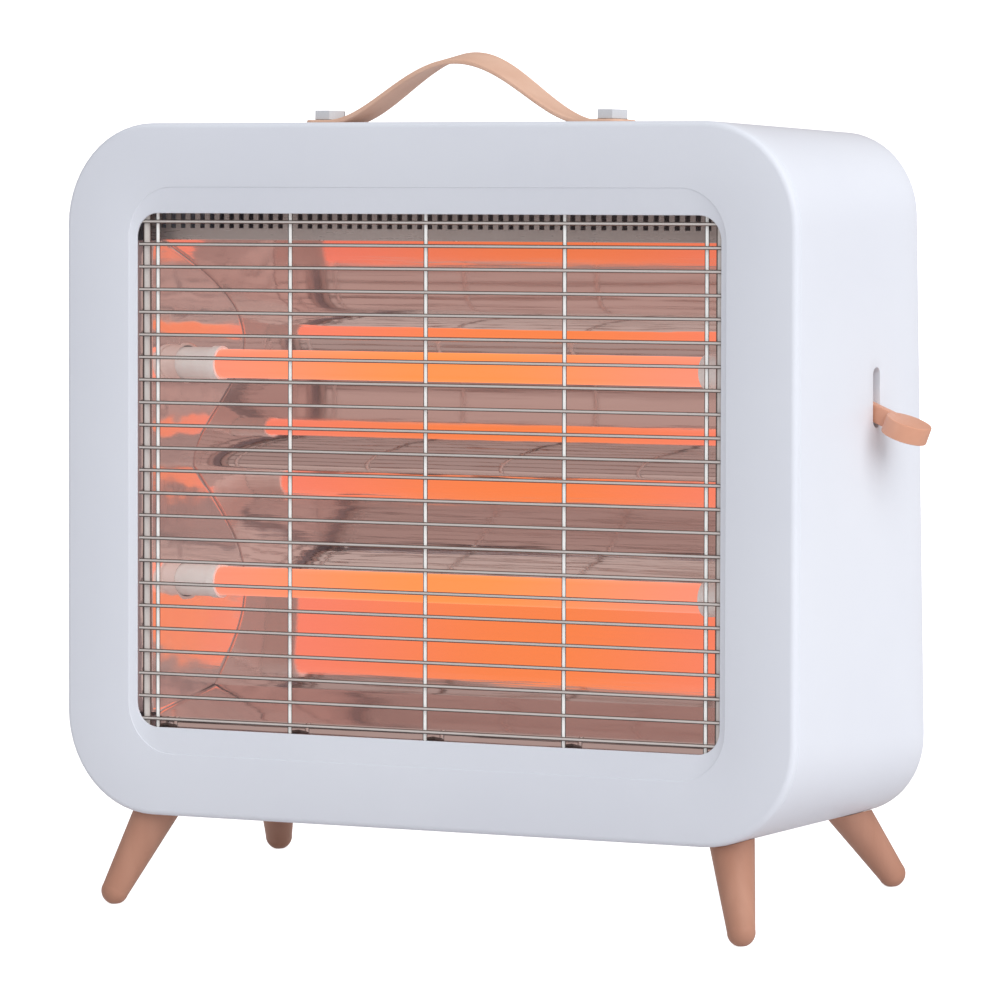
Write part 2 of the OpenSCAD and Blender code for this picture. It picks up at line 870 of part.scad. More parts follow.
module end_plate(side) {
    color(polished)
        on_body()
            difference() {
                intersection() {
                    mirror([side < 0 ? 1 : 0, 0, 0])
                        linear_extrude(opening_top)
                            end_plate_plan();
                    trough_space(seat);
                }
                for (z = tube_z)
                    rod_x(-body_w / 2, tube_y, z, cap_r + 0.6, body_w);
                for (z = side_screw_z)
                    sheet_hole(side * side_screw_x, z, screw_r + hole_play);
            }
}

module end_plate_plan() {
    polygon([
        [end_x, stack_1],
        [side_screw_x + 2 * screw_r + seat, stack_1],
        [side_screw_x + 2 * screw_r + seat, stack_1 + sheet_t],
        [end_x + sheet_t, stack_1 + sheet_t],
        [end_plate_x(trough_lower_y) + sheet_t, trough_lower_y],
        [end_plate_x(trough_lower_y), trough_lower_y]
    ]);
}

module end_plate_left() {
    end_plate(-1);
}

module end_plate_right() {
    end_plate(1);
}

module quartz_tube(z) {
    color("orange", 0.5)
        on_body()
            difference() {
                rod_x(-tube_half, tube_y, z, tube_r, 2 * tube_half);
                rod_x(-tube_half - past, tube_y, z, tube_r - tube_wall, 2 * tube_half + 2 * past);
            }
}

module quartz_tube_upper() {
    quartz_tube(tube_z[0]);
}

module quartz_tube_lower() {
    quartz_tube(tube_z[1]);
}

// Heating winding drawn as a row of crests, with a plain pin out of each end
module winding(z) {
    crests = floor(2 * glow_half / winding_pitch);
    root_r = winding_r - winding_depth;
    half_pitch = winding_pitch / 2;
    waves = [for (k = [0:2 * crests]) [k % 2 == 0 ? root_r : winding_r, (k - crests) * half_pitch]];
    color("orangered")
        on_body()
            translate([0, tube_y, z])
                rotate([0, 90, 0])
                    rotate_extrude()
                        polygon(concat(
                            [[0, -pin_end], [pin_r, -pin_end], [pin_r, -glow_half]],
                            waves,
                            [[pin_r, glow_half], [pin_r, pin_end], [0, pin_end]]
                        ));
}

module winding_upper() {
    winding(tube_z[0]);
}

module winding_lower() {
    winding(tube_z[1]);
}

module cap(side, z) {
    color("white")
        on_body()
            translate([0, tube_y, z])
                rotate([0, side * 90, 0])
                    difference() {
                        union() {
                            translate([0, 0, glow_half])
                                cylinder(r = cap_flange_r, h = cap_flange_t);
                            translate([0, 0, glow_half])
                                cylinder(r = cap_r, h = cap_shoulder - glow_half);
                            translate([0, 0, glow_half])
                                cylinder(r = cap_neck_r, h = cap_end - glow_half);
                        }
                        translate([0, 0, glow_half - past])
                            cylinder(r = tube_r + run_play, h = tube_half + seat - glow_half + past);
                        cylinder(r = pin_r + hole_play, h = cap_end + past);
                    }
}

module cap_upper_left() {
    cap(-1, tube_z[0]);
}

module cap_upper_right() {
    cap(1, tube_z[0]);
}

module cap_lower_left() {
    cap(-1, tube_z[1]);
}

module cap_lower_right() {
    cap(1, tube_z[1]);
}

module tube_bracket(side) {
    color("silver")
        on_body()
            difference() {
                mirror([side < 0 ? 1 : 0, 0, 0]) {
                    translate([bracket_x, stack_2, bracket_low])
                        cube([bracket_t, bracket_back + bracket_t - stack_2, bracket_high - bracket_low]);
                    translate([bracket_x + bracket_t - bracket_lap, bracket_back, bracket_low])
                        cube([bracket_lap, bracket_t, bracket_high - bracket_low]);
                    for (z = side_screw_z)
                        translate([bracket_x, stack_2, z - bracket_foot / 2])
                            cube([side_screw_x + 2 * screw_r - bracket_x, bracket_t, bracket_foot]);
                }
                for (z = tube_z)
                    rod_x(-body_w / 2, tube_y, z, cap_neck_r + hole_play, body_w);
                for (z = side_screw_z)
                    rod_y(side * side_screw_x, stack_2 - past, z, screw_r + hole_play, 2 * past + bracket_t);
                translate([side * shield_screw_x, bracket_back - past, 0])
                    for (z = concat(shield_screw_z, side > 0 ? switch_screw_z : []))
                        rod_y(0, 0, z, screw_r + run_play, 2 * past + bracket_t);
            }
}

module tube_bracket_left() {
    tube_bracket(-1);
}

module tube_bracket_right() {
    tube_bracket(1);
}

module heat_shield() {
    color("gainsboro")
        on_body()
            difference() {
                translate([-shield_half, shield_y, shield_low])
                    cube([2 * shield_half, shield_t, shield_high - shield_low]);
                for (s = [-1, 1])
                    translate([s * shield_screw_x, shield_y - past, 0])
                        for (z = concat(shield_screw_z, s > 0 ? switch_screw_z : []))
                            rod_y(0, 0, z, screw_r + hole_play, 2 * past + shield_t);
            }
}

module shield_screws() {
    color("silver")
        on_body() {
            for (s = [-1, 1])
                for (z = shield_screw_z)
                    shield_screw(s * shield_screw_x, z, carry_y);
            for (z = switch_screw_z)
                shield_screw(shield_screw_x, z, switch_y);
        }
}

module shield_screw(x, z, head_y) {
    rod_y(x, shield_screw_tip, z, screw_r, head_y - shield_screw_tip + join);
    rod_y(x, head_y, z, screw_head_r, screw_head_h);
}

module switch_bracket() {
    color("silver")
        on_body()
            difference() {
                translate([switch_plate_x[0], carry_y, pivot_z - switch_plate_half])
                    cube([switch_plate_x[1] - switch_plate_x[0], bracket_t, 2 * switch_plate_half]);
                rod_y(pivot_x, carry_y - past, pivot_z, shaft_r + hole_play, 2 * past + bracket_t);
                for (z = switch_screw_z)
                    rod_y(shield_screw_x, carry_y - past, z, screw_r + hole_play, 2 * past + bracket_t);
            }
}

module switch_body() {
    color("dimgray")
        on_body()
            difference() {
                translate([switch_plate_x[1] - switch_size[0], switch_y, pivot_z - switch_size[2] / 2])
                    cube(switch_size);
                rod_y(pivot_x, switch_y - past, pivot_z, shaft_r + run_play, shaft_depth + 2 * past);
            }
}

// Lever in its off position: hub on the shaft, flat neck through the slot, rounded paddle outside
module power_lever() {
    color(wood)
        on_body()
            difference() {
                union() {
                    rod_y(pivot_x, hub_y, pivot_z, hub_r, hub_t);
                    translate([pivot_x, lever_y, pivot_z])
                        rotate([0, lever_rest, 0]) {
                            translate([0, -neck_w / 2, -neck_h / 2])
                                cube([neck_end, neck_w, neck_h]);
                            paddle();
                        }
                }
                rod_y(pivot_x, hub_y - past, pivot_z, shaft_r + snug_play, hub_t + 2 * past);
            }
}

module paddle() {
    side_y = paddle_w / 2 - paddle_r;
    hull()
        for (s = [-1, 1]) {
            translate([paddle_start, s * (side_y - root_narrow), root_rise])
                sphere(paddle_r, $fn = 32);
            translate([lever_tip - tip_corner, s * side_y, tip_rise])
                sphere(paddle_r, $fn = 32);
            translate([lever_tip, s * side_y * tip_share, tip_rise - tip_corner])
                sphere(paddle_r, $fn = 32);
            translate([lever_tip - belly_back, s * side_y, -tip_fall])
                sphere(paddle_r, $fn = 32);
        }
}

module lever_shaft() {
    color("silver")
        on_body()
            rod_y(pivot_x, shaft_front, pivot_z, shaft_r, switch_y + shaft_depth - shaft_front);
}

module shaft_clip() {
    color("dimgray")
        on_body()
            difference() {
                rod_y(pivot_x, hub_y - seat - clip_t, pivot_z, clip_r, clip_t);
                rod_y(pivot_x, hub_y - 2 * clip_t - past, pivot_z, shaft_r + snug_play, 3 * clip_t);
            }
}

module thermal_cutout() {
    color("dimgray")
        on_body() {
            rod_y(0, carry_y, cutout_z, cutout_r, cutout_t);
            for (s = [-1, 1])
                translate([s * cutout_tab_x, carry_y + cutout_t / 2, cutout_z - cutout_r])
                    translate([-cutout_tab[0] / 2, 0, -cutout_tab[2] / 2])
                        cube(cutout_tab);
        }
}

module tilt_switch() {
    color("dimgray")
        on_body()
            translate([tilt_at[0], carry_y, tilt_at[1]]) {
                cube(tilt_box);
                translate([(tilt_box[0] - tilt_ear[0]) / 2, 0, (tilt_box[2] - tilt_ear[2]) / 2])
                    cube(tilt_ear);
            }
}

module terminal_block() {
    way = terminal_box[0];
    color("ivory")
        on_body()
            difference() {
                translate([terminal_at[0], carry_y, terminal_at[1]])
                    cube([terminal_ways * way, terminal_box[1], terminal_box[2]]);
                for (k = [0:terminal_ways - 1])
                    rod_y(
                        terminal_at[0] + way / 2 + k * way,
                        carry_y + terminal_box[1] - terminal_bore,
                        terminal_at[1] + terminal_box[2] / 2,
                        terminal_bore_r,
                        terminal_bore + past
                    );
            }
}

// Bent lead swept as one eight-sided tube along a list of points, mitred at each bend
module lead(points) {
    n = lead_sides;
    last = len(points) - 1;
    rings = [for (k = [0:last]) ring(points[k], lead_way(points, k, last), lead_r, n)];
    polyhedron(
        points = [for (r = rings) each r],
        faces = concat(
            [[for (i = [0:n - 1]) i]],
            [for (k = [0:last - 1]) for (i = [0:n - 1])
                [k * n + i, (k + 1) * n + i, (k + 1) * n + (i + 1) % n, k * n + (i + 1) % n]],
            [[for (i = [n - 1:-1:0]) last * n + i]]
        )
    );
}

function unit(v) = v / norm(v);
function lead_way(p, k, last) = unit(
    (k < last ? unit(p[k + 1] - p[k]) : [0, 0, 0]) + (k > 0 ? unit(p[k] - p[k - 1]) : [0, 0, 0])
);
function ring(at, way, r, sides) = let (
    a = unit(cross(way, [0.31, 0.17, 0.93])),
    b = cross(way, a)
) [for (i = [0:sides - 1]) at + r * (a * cos(360 * i / sides) + b * sin(360 * i / sides))];

module internal_leads() {
    color("saddlebrown")
        on_body()
            for (route = lead_routes)
                lead(route);
}

module cord_gland() {
    bore_l = gland_in + gland_flange_t + 2 * past;
    color("dimgray")
        on_body()
            on_rear()
                difference() {
                    union() {
                        rod_y(gland_x, -gland_in, gland_z, gland_r, gland_in);
                        rod_y(gland_x, -cover_in + seat, gland_z, gland_flange_r, gland_flange_t);
                    }
                    rod_y(gland_x, -gland_in - past, gland_z, gland_bore_r, bore_l);
                }
}

module gland_nut() {
    color("dimgray")
        on_body()
            on_rear()
                difference() {
                    translate([gland_x, -cover_in - cover_t - seat, gland_z])
                        rotate([90, 0, 0])
                            cylinder(r = gland_r + gland_nut_wall, h = gland_nut_t, $fn = 6);
                    rod_y(gland_x, -gland_in, gland_z, gland_r + run_play, gland_in);
                }
}

module carry_strap() {
    color(wood)
        on_body()
            on_strap()
                difference() {
                    intersection() {
                        translate([0, strap_w / 2, 0])
                            rotate([90, 0, 0])
                                linear_extrude(strap_w)
                                    strap_profile();
                        linear_extrude(strap_rise + strap_t + past)
                            translate([0, -strap_w / 2])
                                rounded_rect(2 * strap_half, strap_w, strap_tip_r);
                    }
                    for (s = [-1, 1])
                        translate([s * bolt_half, 0, 0])
                            cylinder(r = bolt_r + hole_play, h = strap_t + past);
                }
}

module strap_profile() {
    polygon(concat(
        [for (k = [0:strap_steps]) [strap_x(k), strap_z(strap_x(k))]],
        [for (k = [strap_steps:-1:0]) [strap_x(k), strap_z(strap_x(k)) + strap_t]]
    ));
}

module strap_bolts() {
    head_z = strap_bottom + strap_t + seat;
    shank = washer_t + nut_h + wall + 3 * seat + stud_past;
    color("silver")
        on_body()
            on_strap()
                for (s = [-1, 1])
                    translate([s * bolt_half, 0, head_z]) {
                        cylinder(r = hex_r, h = bolt_head_h, $fn = 6);
                        translate([0, 0, -head_z - shank])
                            cylinder(r = bolt_r, h = head_z + shank + join);
                    }
}

module strap_washers() {
    color("silver")
        on_body()
            on_strap()
                for (s = [-1, 1])
                    translate([s * bolt_half, 0, -wall - seat - washer_t])
                        difference() {
                            cylinder(r = washer_r, h = washer_t);
                            translate([0, 0, -past])
                                cylinder(r = bolt_r + hole_play, h = washer_t + 2 * past);
                        }
}

module strap_nuts() {
    color("silver")
        on_body()
            on_strap()
                for (s = [-1, 1])
                    translate([s * bolt_half, 0, -wall - 2 * seat - washer_t - nut_h])
                        hex_nut();
}

module hex_nut() {
    difference() {
        cylinder(r = hex_r, h = nut_h, $fn = 6);
        translate([0, 0, -past])
            cylinder(r = bolt_r + run_play, h = nut_h + 2 * past);
    }
}

// Turned leg: round foot, tapered shaft cut to the housing's underside, blind hole for the stud
module leg(side, front) {
    reach = seat_len(front) + leg_over;
    neck_r = foot_r * cos(leg_taper);
    color(wood)
        difference() {
            on_leg(side, front) {
                sphere(foot_r);
                translate([0, 0, foot_r * sin(leg_taper)])
                    cylinder(r1 = neck_r, r2 = neck_r + reach * tan(leg_taper), h = reach);
            }
            translate([-body_w, -body_w, -foot_r])
                cube([2 * body_w, 2 * body_w, foot_r]);
            on_body()
                translate([0, 0, -seat])
                    drafted(0, 0, 0);
            on_leg(side, front)
                translate([0, 0, seat_len(front) - stud_in - past])
                    cylinder(r = bolt_r + run_play, h = stud_in + reach);
        }
}

module leg_front_left() {
    leg(-1, true);
}

module leg_front_right() {
    leg(1, true);
}

module leg_rear_left() {
    leg(-1, false);
}

module leg_rear_right() {
    leg(1, false);
}

// Wedges inside the corners that give the leg studs a square seat
module leg_sockets() {
    color("dimgray")
        for (side = [-1, 1])
            for (front = [true, false])
                difference() {
                    intersection() {
                        on_leg(side, front)
                            translate([0, 0, seat_len(front) - socket_r])
                                cylinder(r = socket_r, h = socket_r + socket_len);
                        on_body()
                            intersection() {
                                drafted(wall + seat, 0, rear_flange_in + flange_t + seat);
                                translate([-body_w, stack_1 + seat, 0])
                                    cube([2 * body_w, depth_bottom, body_h]);
                            }
                    }
                    on_leg(side, front)
                        cylinder(r = bolt_r + hole_play, h = seat_len(front) + 2 * socket_len);
                }
}

module leg_studs() {
    color("silver")
        for (side = [-1, 1])
            for (front = [true, false])
                on_leg(side, front)
                    translate([0, 0, seat_len(front) - stud_in])
                        cylinder(r = bolt_r, h = stud_in + socket_len + nut_h + stud_past);
}

module leg_nuts() {
    color("silver")
        for (side = [-1, 1])
            for (front = [true, false])
                on_leg(side, front)
                    translate([0, 0, seat_len(front) + socket_len + seat])
                        hex_nut();
}

front_bezel();
shell();
rear_cover();
cover_screws();
bezel_screws();
wire_guard();
guard_posts();
vent_strip();
reflector();
end_plate_left();
end_plate_right();
quartz_tube_upper();
quartz_tube_lower();
winding_upper();
winding_lower();
cap_upper_left();
cap_upper_right();
cap_lower_left();
cap_lower_right();
tube_bracket_left();
tube_bracket_right();
heat_shield();
shield_screws();
switch_bracket();
switch_body();
power_lever();
lever_shaft();
shaft_clip();
thermal_cutout();
tilt_switch();
terminal_block();
internal_leads();
cord_gland();
gland_nut();
carry_strap();
strap_bolts();
strap_washers();
strap_nuts();
leg_front_left();
leg_front_right();
leg_rear_left();
leg_rear_right();
leg_sockets();
leg_studs();
leg_nuts();
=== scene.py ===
import math

import bmesh
import bpy
import numpy as np
from mathutils import Matrix


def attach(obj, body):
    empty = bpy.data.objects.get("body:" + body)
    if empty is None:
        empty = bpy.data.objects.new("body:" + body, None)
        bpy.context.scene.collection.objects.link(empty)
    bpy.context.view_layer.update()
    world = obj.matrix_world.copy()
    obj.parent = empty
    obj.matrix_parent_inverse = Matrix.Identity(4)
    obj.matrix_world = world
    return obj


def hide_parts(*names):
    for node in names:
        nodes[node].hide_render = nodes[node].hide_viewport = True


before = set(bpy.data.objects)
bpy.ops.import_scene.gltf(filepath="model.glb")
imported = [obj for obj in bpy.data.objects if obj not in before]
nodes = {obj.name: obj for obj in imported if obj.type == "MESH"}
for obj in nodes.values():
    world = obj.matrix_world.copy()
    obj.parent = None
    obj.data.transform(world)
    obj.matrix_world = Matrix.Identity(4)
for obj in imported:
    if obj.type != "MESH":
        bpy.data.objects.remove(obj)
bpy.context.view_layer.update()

# ----------------------------------------------------------------------------------------------
# Shell. One sleeve moulded in satin white plastic makes the top, the underside and both sides. It
# narrows toward the back, and leans back on its legs. The power lever's slot, with a collar inside
# it, is in its right wall, and two inner flanges take the screws.

lean = math.radians(6.2)
stand_h = 0.041
middle_x, middle_y = 0.012956, 0.069620
body_w, body_h = 0.380, 0.312
depth_bottom, depth_top = 0.1276, 0.1156
corner_r, rear_corner_r = 0.046, 0.036
side_draft, bottom_draft, top_draft = 0.005, 0.0068, 0.004
wall = 0.0025
seam_y = 0.0043
front_edge_r, rear_edge_r = 0.0004, 0.0012
# Shares of the way back at which the rounded front edge ends and the rounded rear edge starts.
flat_from, flat_to = 0.006, 0.988
# A flange's two faces, measured from the front or from the rear plane, and how far in it reaches.
front_flange_depths, front_flange_in = (0.0100, 0.0120), 0.024
rear_flange_depths, rear_flange_in = (0.0052, 0.0032), 0.016
flange_root = wall - 0.0005

pivot_x, pivot_z = 0.1696, 0.1925
slot_y, slot_r, slot_half = 0.0771, 0.0033, 0.0130
# The slot's rounded edge: how far outside the slot, and how far inside the wall's face.
slot_edge = [(0.0005, 0), (0.0002, 0.0001), (0, 0.0005)]
collar_depth, collar_t = 0.0045, 0.0014
corner_steps, side_steps = 14, 16
wall_rings, crowding = 9, 0.6

rear_tilt = math.atan((depth_bottom - depth_top) / body_h)
rear_w = body_w - 2 * side_draft
rear_h = (body_h - top_draft - bottom_draft) / math.cos(rear_tilt)
rear_base = bottom_draft / math.cos(rear_tilt)


def in_frame(points):
    """Sets points of the leaning housing (X along its width, Y back from its front, Z up from its
    underside) in the part's frame: a turn about X by the lean, then a move onto the stand."""
    x, y, z = np.moveaxis(np.asarray(points, float), -1, 0)
    return np.stack([
        x - middle_x,
        y * math.cos(lean) + z * math.sin(lean) - middle_y,
        z * math.cos(lean) - y * math.sin(lean) + stand_h,
    ], axis=-1)


def outline(width, height, radius, base=0.0, arc=corner_steps, side=side_steps):
    """Points (x, z) round an upright rectangle that stands at the height base, its corners quarter
    circles of this radius and its sides split evenly. It starts at the top of the right side and
    goes anticlockwise as seen from the front, and the right side comes last."""
    turn = np.linspace(0, math.pi / 2, arc + 1)
    split = np.linspace(0, 1, side + 1)[1:-1, None]
    arcs = []
    for k, (sx, sz) in enumerate([(1, 1), (-1, 1), (-1, -1), (1, -1)]):
        centre = [sx * (width / 2 - radius), base + height / 2 + sz * (height / 2 - radius)]
        angle = turn + k * math.pi / 2
        arcs.append(np.array(centre) + radius * np.stack([np.cos(angle), np.sin(angle)], -1))
    runs = [arcs[k][-1] + split * (arcs[(k + 1) % 4][0] - arcs[k][-1]) for k in range(4)]
    return np.concatenate([part for pair in zip(arcs, runs) for part in pair])


def front_ring(inset, y):
    """The front outline drawn in by inset, at the depth y."""
    x, z = outline(body_w - 2 * inset, body_h - 2 * inset, corner_r - inset, inset).T
    return np.stack([x, np.full_like(x, y), z], -1)


def rear_ring(inset, back=0.0):
    """The rear outline drawn in by inset, on the tilted rear plane or a little in front of it."""
    width, height = rear_w - 2 * inset, rear_h - 2 * inset
    x, up = outline(width, height, rear_corner_r - inset, rear_base + inset).T
    return np.stack([
        x,
        depth_bottom - back * math.cos(rear_tilt) - up * math.sin(rear_tilt),
        up * math.cos(rear_tilt) - back * math.sin(rear_tilt),
    ], -1)


def sleeve(inset, share):
    """Rings of the drafted sleeve: each point of the front outline joined straight to its like on
    the rear outline, at these shares of the way back."""
    share = np.asarray(share, float)[:, None, None]
    return front_ring(inset, seam_y) * (1 - share) + rear_ring(inset) * share


def pierced(edge, hole, shares):
    """Closed rings that go from a patch's outer edge to the hole in it, point to point."""
    shares = np.asarray(shares, float)[:, None, None]
    return edge * (1 - shares) + hole * shares


def surface_piece(name, patches, along=None, crisp=38.0):
    """One mesh from grids of points, each (rows, columns, 3) with a flag for a grid that closes on
    itself along its rows. Each cell is a face. Points within a micrometre are merged, all faces
    are turned outward, and edges that turn by more than crisp degrees stay sharp. along gives the
    same grids in the material's own directions."""
    faces, start = [], 0
    for points, closed in patches:
        rows, columns = points.shape[:2]
        index = start + np.arange(rows * columns).reshape(rows, columns)
        if closed:
            index = np.concatenate([index, index[:, :1]], axis=1)
        cell = [index[:-1, :-1], index[1:, :-1], index[1:, 1:], index[:-1, 1:]]
        faces.append(np.stack(cell, -1).reshape(-1, 4))
        start += rows * columns
    mesh = bpy.data.meshes.new(name)
    corners = np.concatenate([points.reshape(-1, 3) for points, closed in patches])
    mesh.from_pydata(corners.tolist(), [], np.concatenate(faces).tolist())
    if along is not None:
        local = np.concatenate([points.reshape(-1, 3) for points in along]).astype(np.float32)
        own = mesh.attributes.new("along", "FLOAT_VECTOR", "POINT")
        own.data.foreach_set("vector", local.ravel())
    work = bmesh.new()
    work.from_mesh(mesh)
    bmesh.ops.remove_doubles(work, verts=work.verts, dist=1e-6)
    bmesh.ops.dissolve_degenerate(work, edges=work.edges, dist=1e-7)
    bmesh.ops.recalc_face_normals(work, faces=work.faces)
    work.to_mesh(mesh)
    work.free()
    mesh.shade_smooth()
    mesh.set_sharp_from_angle(angle=math.radians(crisp))
    piece = bpy.data.objects.new(name, mesh)
    bpy.context.scene.collection.objects.link(piece)
    return piece


def tone(red, green, blue):
    """A displayed colour, 0 to 255, as the linear colour that a shader takes."""
    share = np.array([red, green, blue]) / 255
    linear = np.where(share <= 0.04045, share / 12.92, ((share + 0.055) / 1.055) ** 2.4)
    return (*linear.tolist(), 1.0)


noise_low, noise_high = 0.3, 0.7
noise_detail = 3.0


def make_grain():
    """Node group: two noises on one vector. Mask is the coarse one for colours, spread over 0
    to 1, and Grain is the fine one for roughness and bumps. Most of a noise lies between
    noise_low and noise_high."""
    group = bpy.data.node_groups.new("grain", "ShaderNodeTree")
    for name, kind in (("Vector", "Vector"), ("Coarse", "Float"), ("Fine", "Float")):
        group.interface.new_socket(name, in_out="INPUT", socket_type="NodeSocket" + kind)
    for name in ("Mask", "Grain"):
        group.interface.new_socket(name, in_out="OUTPUT", socket_type="NodeSocketFloat")
    into, out = group.nodes.new("NodeGroupInput"), group.nodes.new("NodeGroupOutput")
    spread = group.nodes.new("ShaderNodeMapRange")
    spread.inputs["From Min"].default_value = noise_low
    spread.inputs["From Max"].default_value = noise_high
    for size, target in (("Coarse", spread.inputs["Value"]), ("Fine", out.inputs["Grain"])):
        noise = group.nodes.new("ShaderNodeTexNoise")
        noise.inputs["Detail"].default_value = noise_detail
        group.links.new(into.outputs["Vector"], noise.inputs["Vector"])
        group.links.new(into.outputs[size], noise.inputs["Scale"])
        group.links.new(noise.outputs["Fac"], target)
    group.links.new(spread.outputs["Result"], out.inputs["Mask"])
    return group


grain = make_grain()


def make_finish(name, light, dark, rough, coarse, fine, bump, stretch=(1, 1, 1), along=False,
                **constants):
    """A Principled surface that wanders between two close tones and two roughnesses, with a fine
    bump of the given strength and depth. stretch draws the grain out, on Object coordinates or on
    the piece's own directions, and constants are set on the shader's own sockets."""
    material = bpy.data.materials.new(name)
    material.use_nodes = True
    tree, shader = material.node_tree, material.node_tree.nodes["Principled BSDF"]
    if along:
        source = tree.nodes.new("ShaderNodeAttribute")
        source.attribute_name = "along"
        vector = source.outputs["Vector"]
    else:
        vector = tree.nodes.new("ShaderNodeTexCoord").outputs["Object"]
    place = tree.nodes.new("ShaderNodeMapping")
    place.inputs["Scale"].default_value = stretch
    pattern = tree.nodes.new("ShaderNodeGroup")
    pattern.node_tree = grain
    pattern.inputs["Coarse"].default_value = coarse
    pattern.inputs["Fine"].default_value = fine
    mix = tree.nodes.new("ShaderNodeMix")
    mix.data_type = "RGBA"
    mix.inputs["A"].default_value = light
    mix.inputs["B"].default_value = dark
    gloss = tree.nodes.new("ShaderNodeMapRange")
    gloss.inputs["From Min"].default_value = noise_low
    gloss.inputs["From Max"].default_value = noise_high
    gloss.inputs["To Min"].default_value, gloss.inputs["To Max"].default_value = rough
    relief = tree.nodes.new("ShaderNodeBump")
    relief.inputs["Strength"].default_value, relief.inputs["Distance"].default_value = bump
    for start, end in (
        (vector, place.inputs["Vector"]),
        (place.outputs["Vector"], pattern.inputs["Vector"]),
        (pattern.outputs["Mask"], mix.inputs["Factor"]),
        (mix.outputs["Result"], shader.inputs["Base Color"]),
        (pattern.outputs["Grain"], gloss.inputs["Value"]),
        (gloss.outputs["Result"], shader.inputs["Roughness"]),
        (pattern.outputs["Grain"], relief.inputs["Height"]),
        (relief.outputs["Normal"], shader.inputs["Normal"]),
    ):
        tree.links.new(start, end)
    for socket, value in constants.items():
        shader.inputs[socket.replace("_", " ")].default_value = value
    return material


def dress(piece, material):
    """Gives every material slot of a new piece or of the part's own node this material."""
    if not piece.material_slots:
        piece.data.materials.append(material)
    for place in piece.material_slots:
        place.material = material


def slot_loop(edge, radius, depth):
    """Points on the slot's outline, grown to radius, one for each point of a patch's edge: each
    lies on the outline's half circle in that point's direction, depth inside the wall's face."""
    way = edge[:, 1:] - np.array([slot_y, pivot_z])
    way /= np.linalg.norm(way, axis=1, keepdims=True)
    end = np.where(way[:, 1] < 0, -1, 1) * (slot_half - slot_r)
    y = slot_y + radius * way[:, 0]
    z = pivot_z + end + radius * way[:, 1]
    share = (y - seam_y) / (depth_bottom - z * math.tan(rear_tilt) - seam_y)
    return np.stack([body_w / 2 - side_draft * share - depth, y, z], -1)


def side_edge(inset, share):
    """The edge of the flat part of the right wall: back along its foot, up its rear end, forward
    along its top and down its front end."""
    rings = sleeve(inset, share)
    foot, head = rings[:, -side_steps], rings[:, 0]
    rear, front = rings[-1, -side_steps + 1:], rings[0, -side_steps + 1:]
    return np.concatenate([foot, rear, head[::-1], front[::-1]])


flat_part = np.linspace(flat_from, flat_to, 12)
outer, inner = sleeve(0, flat_part), sleeve(wall, flat_part)
outer_edge, inner_edge = side_edge(0, flat_part), side_edge(wall, flat_part)
lip_loops = [(slot_r + out, depth) for out, depth in slot_edge]
lip_loops += [(slot_r, collar_depth), (slot_r + collar_t, collar_depth), (slot_r + collar_t, wall)]
lip = np.stack([slot_loop(outer_edge, radius, depth) for radius, depth in lip_loops])
narrowing = np.linspace(0, 1, wall_rings) ** crowding
wall_patch = pierced(outer_edge, lip[0], narrowing)
lining_patch = pierced(inner_edge, slot_loop(inner_edge, slot_r + collar_t, wall), narrowing)
quarter = np.linspace(0, math.pi / 2, 5)
rim_front = np.stack(
    [sleeve(front_edge_r * (1 - math.cos(a)), [flat_from * (1 - math.sin(a))])[0] for a in quarter]
    + [sleeve(wall, [0])[0], inner[0]])
rim_rear = np.stack(
    [sleeve(rear_edge_r * (1 - math.cos(a)), [1 - (1 - flat_to) * (1 - math.sin(a))])[0]
     for a in quarter]
    + [sleeve(wall, [1])[0], inner[-1]])


def flange_patch(ring, depths, reach):
    """A flat flange all round the inside: its section is a thin rectangle, from a root inside the
    wall in to reach, carried round the outline."""
    rings = [ring(flange_root, depths[0]), ring(reach, depths[0]), ring(reach, depths[1]),
             ring(flange_root, depths[1]), ring(flange_root, depths[0])]
    return in_frame(np.stack(rings))


open_run = -side_steps + 1
shell = surface_piece("shell_sleeve", [
    (in_frame(outer[:, :open_run]), False),
    (in_frame(inner[:, :open_run]), False),
    (in_frame(wall_patch), True),
    (in_frame(lip), True),
    (in_frame(lining_patch), True),
    (in_frame(rim_front), True),
    (in_frame(rim_rear), True),
    (flange_patch(front_ring, front_flange_depths, front_flange_in), True),
    (flange_patch(rear_ring, rear_flange_depths, rear_flange_in), True),
])
moulded_white = make_finish(
    "moulded_white", tone(232, 236, 244), tone(228, 232, 241), rough=(0.34, 0.42), coarse=9.0,
    fine=1600.0, bump=(0.06, 0.0002), Specular_IOR_Level=0.45)
dress(shell, moulded_white)
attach(shell, "housing")
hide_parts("shell")

# ----------------------------------------------------------------------------------------------
# Rear cover. A flat moulded plate with two blocks of air slots, set a little inside the shell's
# rear edge and held by eight countersunk screws. The cord's gland and its nut clamp through it.

cover_white = make_finish(
    "cover_white", tone(226, 230, 238), tone(219, 223, 232), rough=(0.42, 0.55), coarse=12.0,
    fine=900.0, bump=(0.25, 0.0003))
dark_moulding = make_finish(
    "dark_moulding", tone(52, 52, 55), tone(42, 42, 45), rough=(0.45, 0.6), coarse=40.0,
    fine=900.0, bump=(0.25, 0.0003))
zinc_plate = make_finish(
    "zinc_plate", tone(196, 198, 202), tone(172, 175, 181), rough=(0.28, 0.42), coarse=60.0,
    fine=900.0, bump=(0.1, 0.0002), Metallic=1.0)
dress(nodes["rear_cover"], cover_white)
dress(nodes["cover_screws"], zinc_plate)
dress(nodes["bezel_screws"], zinc_plate)
dress(nodes["cord_gland"], dark_moulding)
dress(nodes["gland_nut"], dark_moulding)

